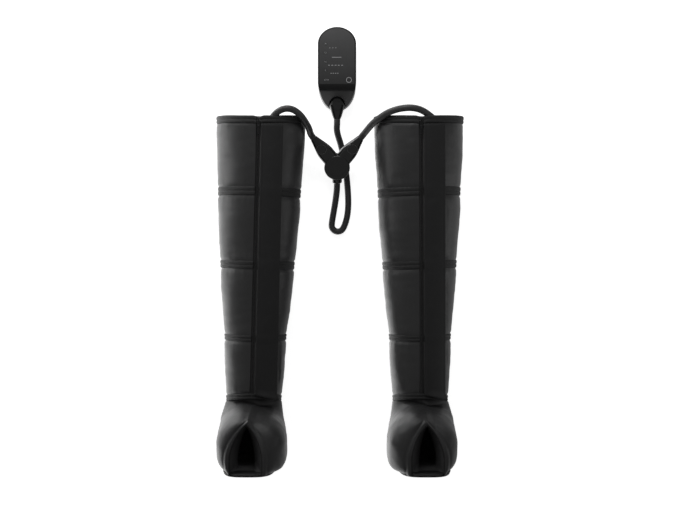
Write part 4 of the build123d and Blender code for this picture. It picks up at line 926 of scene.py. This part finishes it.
for side in outward:
    steps = foot["sideSteps"]
    loops = [seamLoop(side, 1, lambda turn: -2.0),
             seamLoop(side, 6, lambda turn: -4.0 - foot["neckDip"] * max(0.0, cos(turn)))]
    loops += [sideLoop(side, step) for step in range(2, steps + 1)]
    top = footLoop(side, steps / foot["steps"], False)
    below = footLoop(side, (steps - 2) / foot["steps"], False)
    mouth, throat = archLoop(side, foot["mouth"]), archLoop(side, foot["throat"])
    loops += [capLoop(side, step / foot["capSteps"], top, below, mouth)
              for step in range(1, foot["capSteps"] + 1)]
    liningRow = len(loops)
    for step in range(1, foot["throatSteps"] + 1):
        loops.append([throatSpot(high, low, step / foot["throatSteps"]) for high, low in zip(mouth, throat)])
    deep = footLoop(side, steps / foot["steps"], True)
    for step in range(1, foot["flareSteps"] + 1):
        loops.append([high.lerp(low, step / foot["flareSteps"]) for high, low in zip(throat, deep)])
    for step in range(steps - 3, 2, -3):
        loops.append(footLoop(side, step / foot["steps"], True))
    loops.append(seamLoop(side, 1, lambda turn: -sleeve["wall"]))
    loops = [[spot * mm for spot in loop] for loop in loops]
    # the rows from liningRow on take the lighter lining: painted light inside the toe opening
    piece = loft(f"{side}FootSkin", loops, clothMaterials["footNylon"], closed=True,
                 lining=(liningRow, clothMaterials["paintedLightLiner"]))
    finishPiece(piece, [f"{side}_foot_chamber"])
print("feet ready")

# soles: a bound slab with a raised tread
soleLook = {
    "halfWide": 70, "low": 42, "high": 306.5, "around": 120, "square": 3.6,
    "edge": (   # y, inset of the outline
        (-590, 7), (-591.2, 3), (-592.6, 1.2), (-594, 0.6), (-595.2, 1.4), (-596, 3.4), (-596.6, 3.8),
        (-597.2, 3), (-598.4, 2.4), (-599.4, 3.6), (-599.8, 7), (-599.6, 14)),
}
for side in outward:
    x, middleZ = sleeve["ankleX"][side], (soleLook["low"] + soleLook["high"]) / 2
    halfHigh = (soleLook["high"] - soleLook["low"]) / 2
    loops = []
    for y, inset in soleLook["edge"]:
        loop = []
        for step in range(soleLook["around"]):
            turn = 2 * pi * step / soleLook["around"]
            reach = ovalReach(turn, soleLook["halfWide"] - inset, halfHigh - inset, soleLook["square"])
            loop.append(Vector((x + reach * sin(turn), y, middleZ + reach * cos(turn))) * mm)
        loops.append(loop)
    piece = loft(f"{side}SoleSlab", loops, clothMaterials["bandTape"], capped=True)
    finishPiece(piece, [f"{side}_sole"])
print("soles ready")


def addRing(name, middle, radii, thick, tilt, material, body):
    # a flat raised ring lying on a face that is tilted about x
    form = bmesh.new()
    form.loops.layers.uv.new("cloth")
    bmesh.ops.create_circle(form, segments=64, radius=radii[0] * mm)
    made = newVerts(bmesh.ops.extrude_edge_only(form, edges=form.edges[:]))
    inward = radii[1] / radii[0]
    bmesh.ops.scale(form, verts=made, vec=(inward, inward, 1))
    made = newVerts(bmesh.ops.extrude_face_region(form, geom=form.faces[:]))
    bmesh.ops.translate(form, verts=made, vec=(0, 0, thick * mm))
    bmesh.ops.recalc_face_normals(form, faces=form.faces)
    placed = Matrix.Translation(Vector(middle) * mm) @ Matrix.Rotation(tilt, 4, "X")
    bmesh.ops.transform(form, verts=form.verts, matrix=placed)
    return finishPiece(asPiece(name, form, material), [], body)


# control unit: ring of the start button, and plain numbers on the keys and the panel
unit = {
    "faceZ": 100.0, "startSpot": (24.7, 453.0), "ring": (7.6, 6.2), "ringThick": 0.55, "ringSunk": 0.4,
    "labels": {"time_key": ("10", -40.3, 553.0), "zone_key": ("1 2", -40.3, 528.0),
               "level_key": ("1 5", -40.3, 503.0), "link_key": ("0", -40.3, 479.0)},
    "labelSize": 4.6, "labelUp": 0.32, "labelDeep": 0.15,
    "footLabel": ("0 1 2 3", -37.5, 453.0), "footSize": 4.4, "footUp": 0.05,
}
addRing("startRing", (*unit["startSpot"], unit["faceZ"] - unit["ringSunk"]), unit["ring"], unit["ringThick"],
        0.0, markMaterial, "start_button_body")

# a raised line round the button of each boot plug, coloured light grey as a painted highlight on the button's
# edge
hub = {"middle": (-8.3, 218.3, 52.0), "pitch": radians(25), "armTurn": radians(38), "reach": 70.0,
       "top": 13.6, "line": (14.1, 12.7), "high": 0.35, "sunk": 0.1}
# painted highlight: lighter than the black plug plastic, standing in for light caught by the button's edge
plugRimHighlight = makeMaterial("plugRimHighlight", dict(
    tones=grey(0.07, 0.09), rough=(0.25, 0.35), driftScale=60, bump=0.03, bumpDepth=0.0001, rub=0.1))
for side in outward:
    armWay = Vector((outward[side] * sin(hub["armTurn"]), cos(hub["armTurn"]), 0))
    flat = armWay * hub["reach"] + Vector((0, 0, hub["top"] - hub["sunk"]))
    middle = Vector(hub["middle"]) + Matrix.Rotation(hub["pitch"], 3, "X") @ flat
    addRing(f"{side}PlugRimHighlight", middle, hub["line"], hub["high"] + hub["sunk"], hub["pitch"], plugRimHighlight,
            "outfit")


def addLabel(name, words, x, y, z, size, body):
    writing = bpy.data.curves.new(name, "FONT")
    writing.body = words
    writing.size = size * mm
    writing.extrude = unit["labelDeep"] * mm
    writing.align_x = "CENTER"
    writing.align_y = "CENTER"
    holder = link(bpy.data.objects.new(name, writing))
    bpy.context.view_layer.update()
    flat = bpy.data.meshes.new_from_object(holder)
    bpy.data.objects.remove(holder)
    flat.transform(Matrix.Translation((x * mm, y * mm, z * mm)))
    flat.materials.clear()
    flat.materials.append(markMaterial)
    return finishPiece(link(bpy.data.objects.new(name, flat)), [], body)


for node, (words, x, y) in unit["labels"].items():
    addLabel(node.replace("_key", "KeyNumbers"), words, x, y, unit["faceZ"] + unit["labelUp"],
             unit["labelSize"], node + "_body")
words, x, y = unit["footLabel"]
addLabel("panelFootNumbers", words, x, y, unit["faceZ"] + unit["footUp"], unit["footSize"], "outfit")
print("control unit ready")
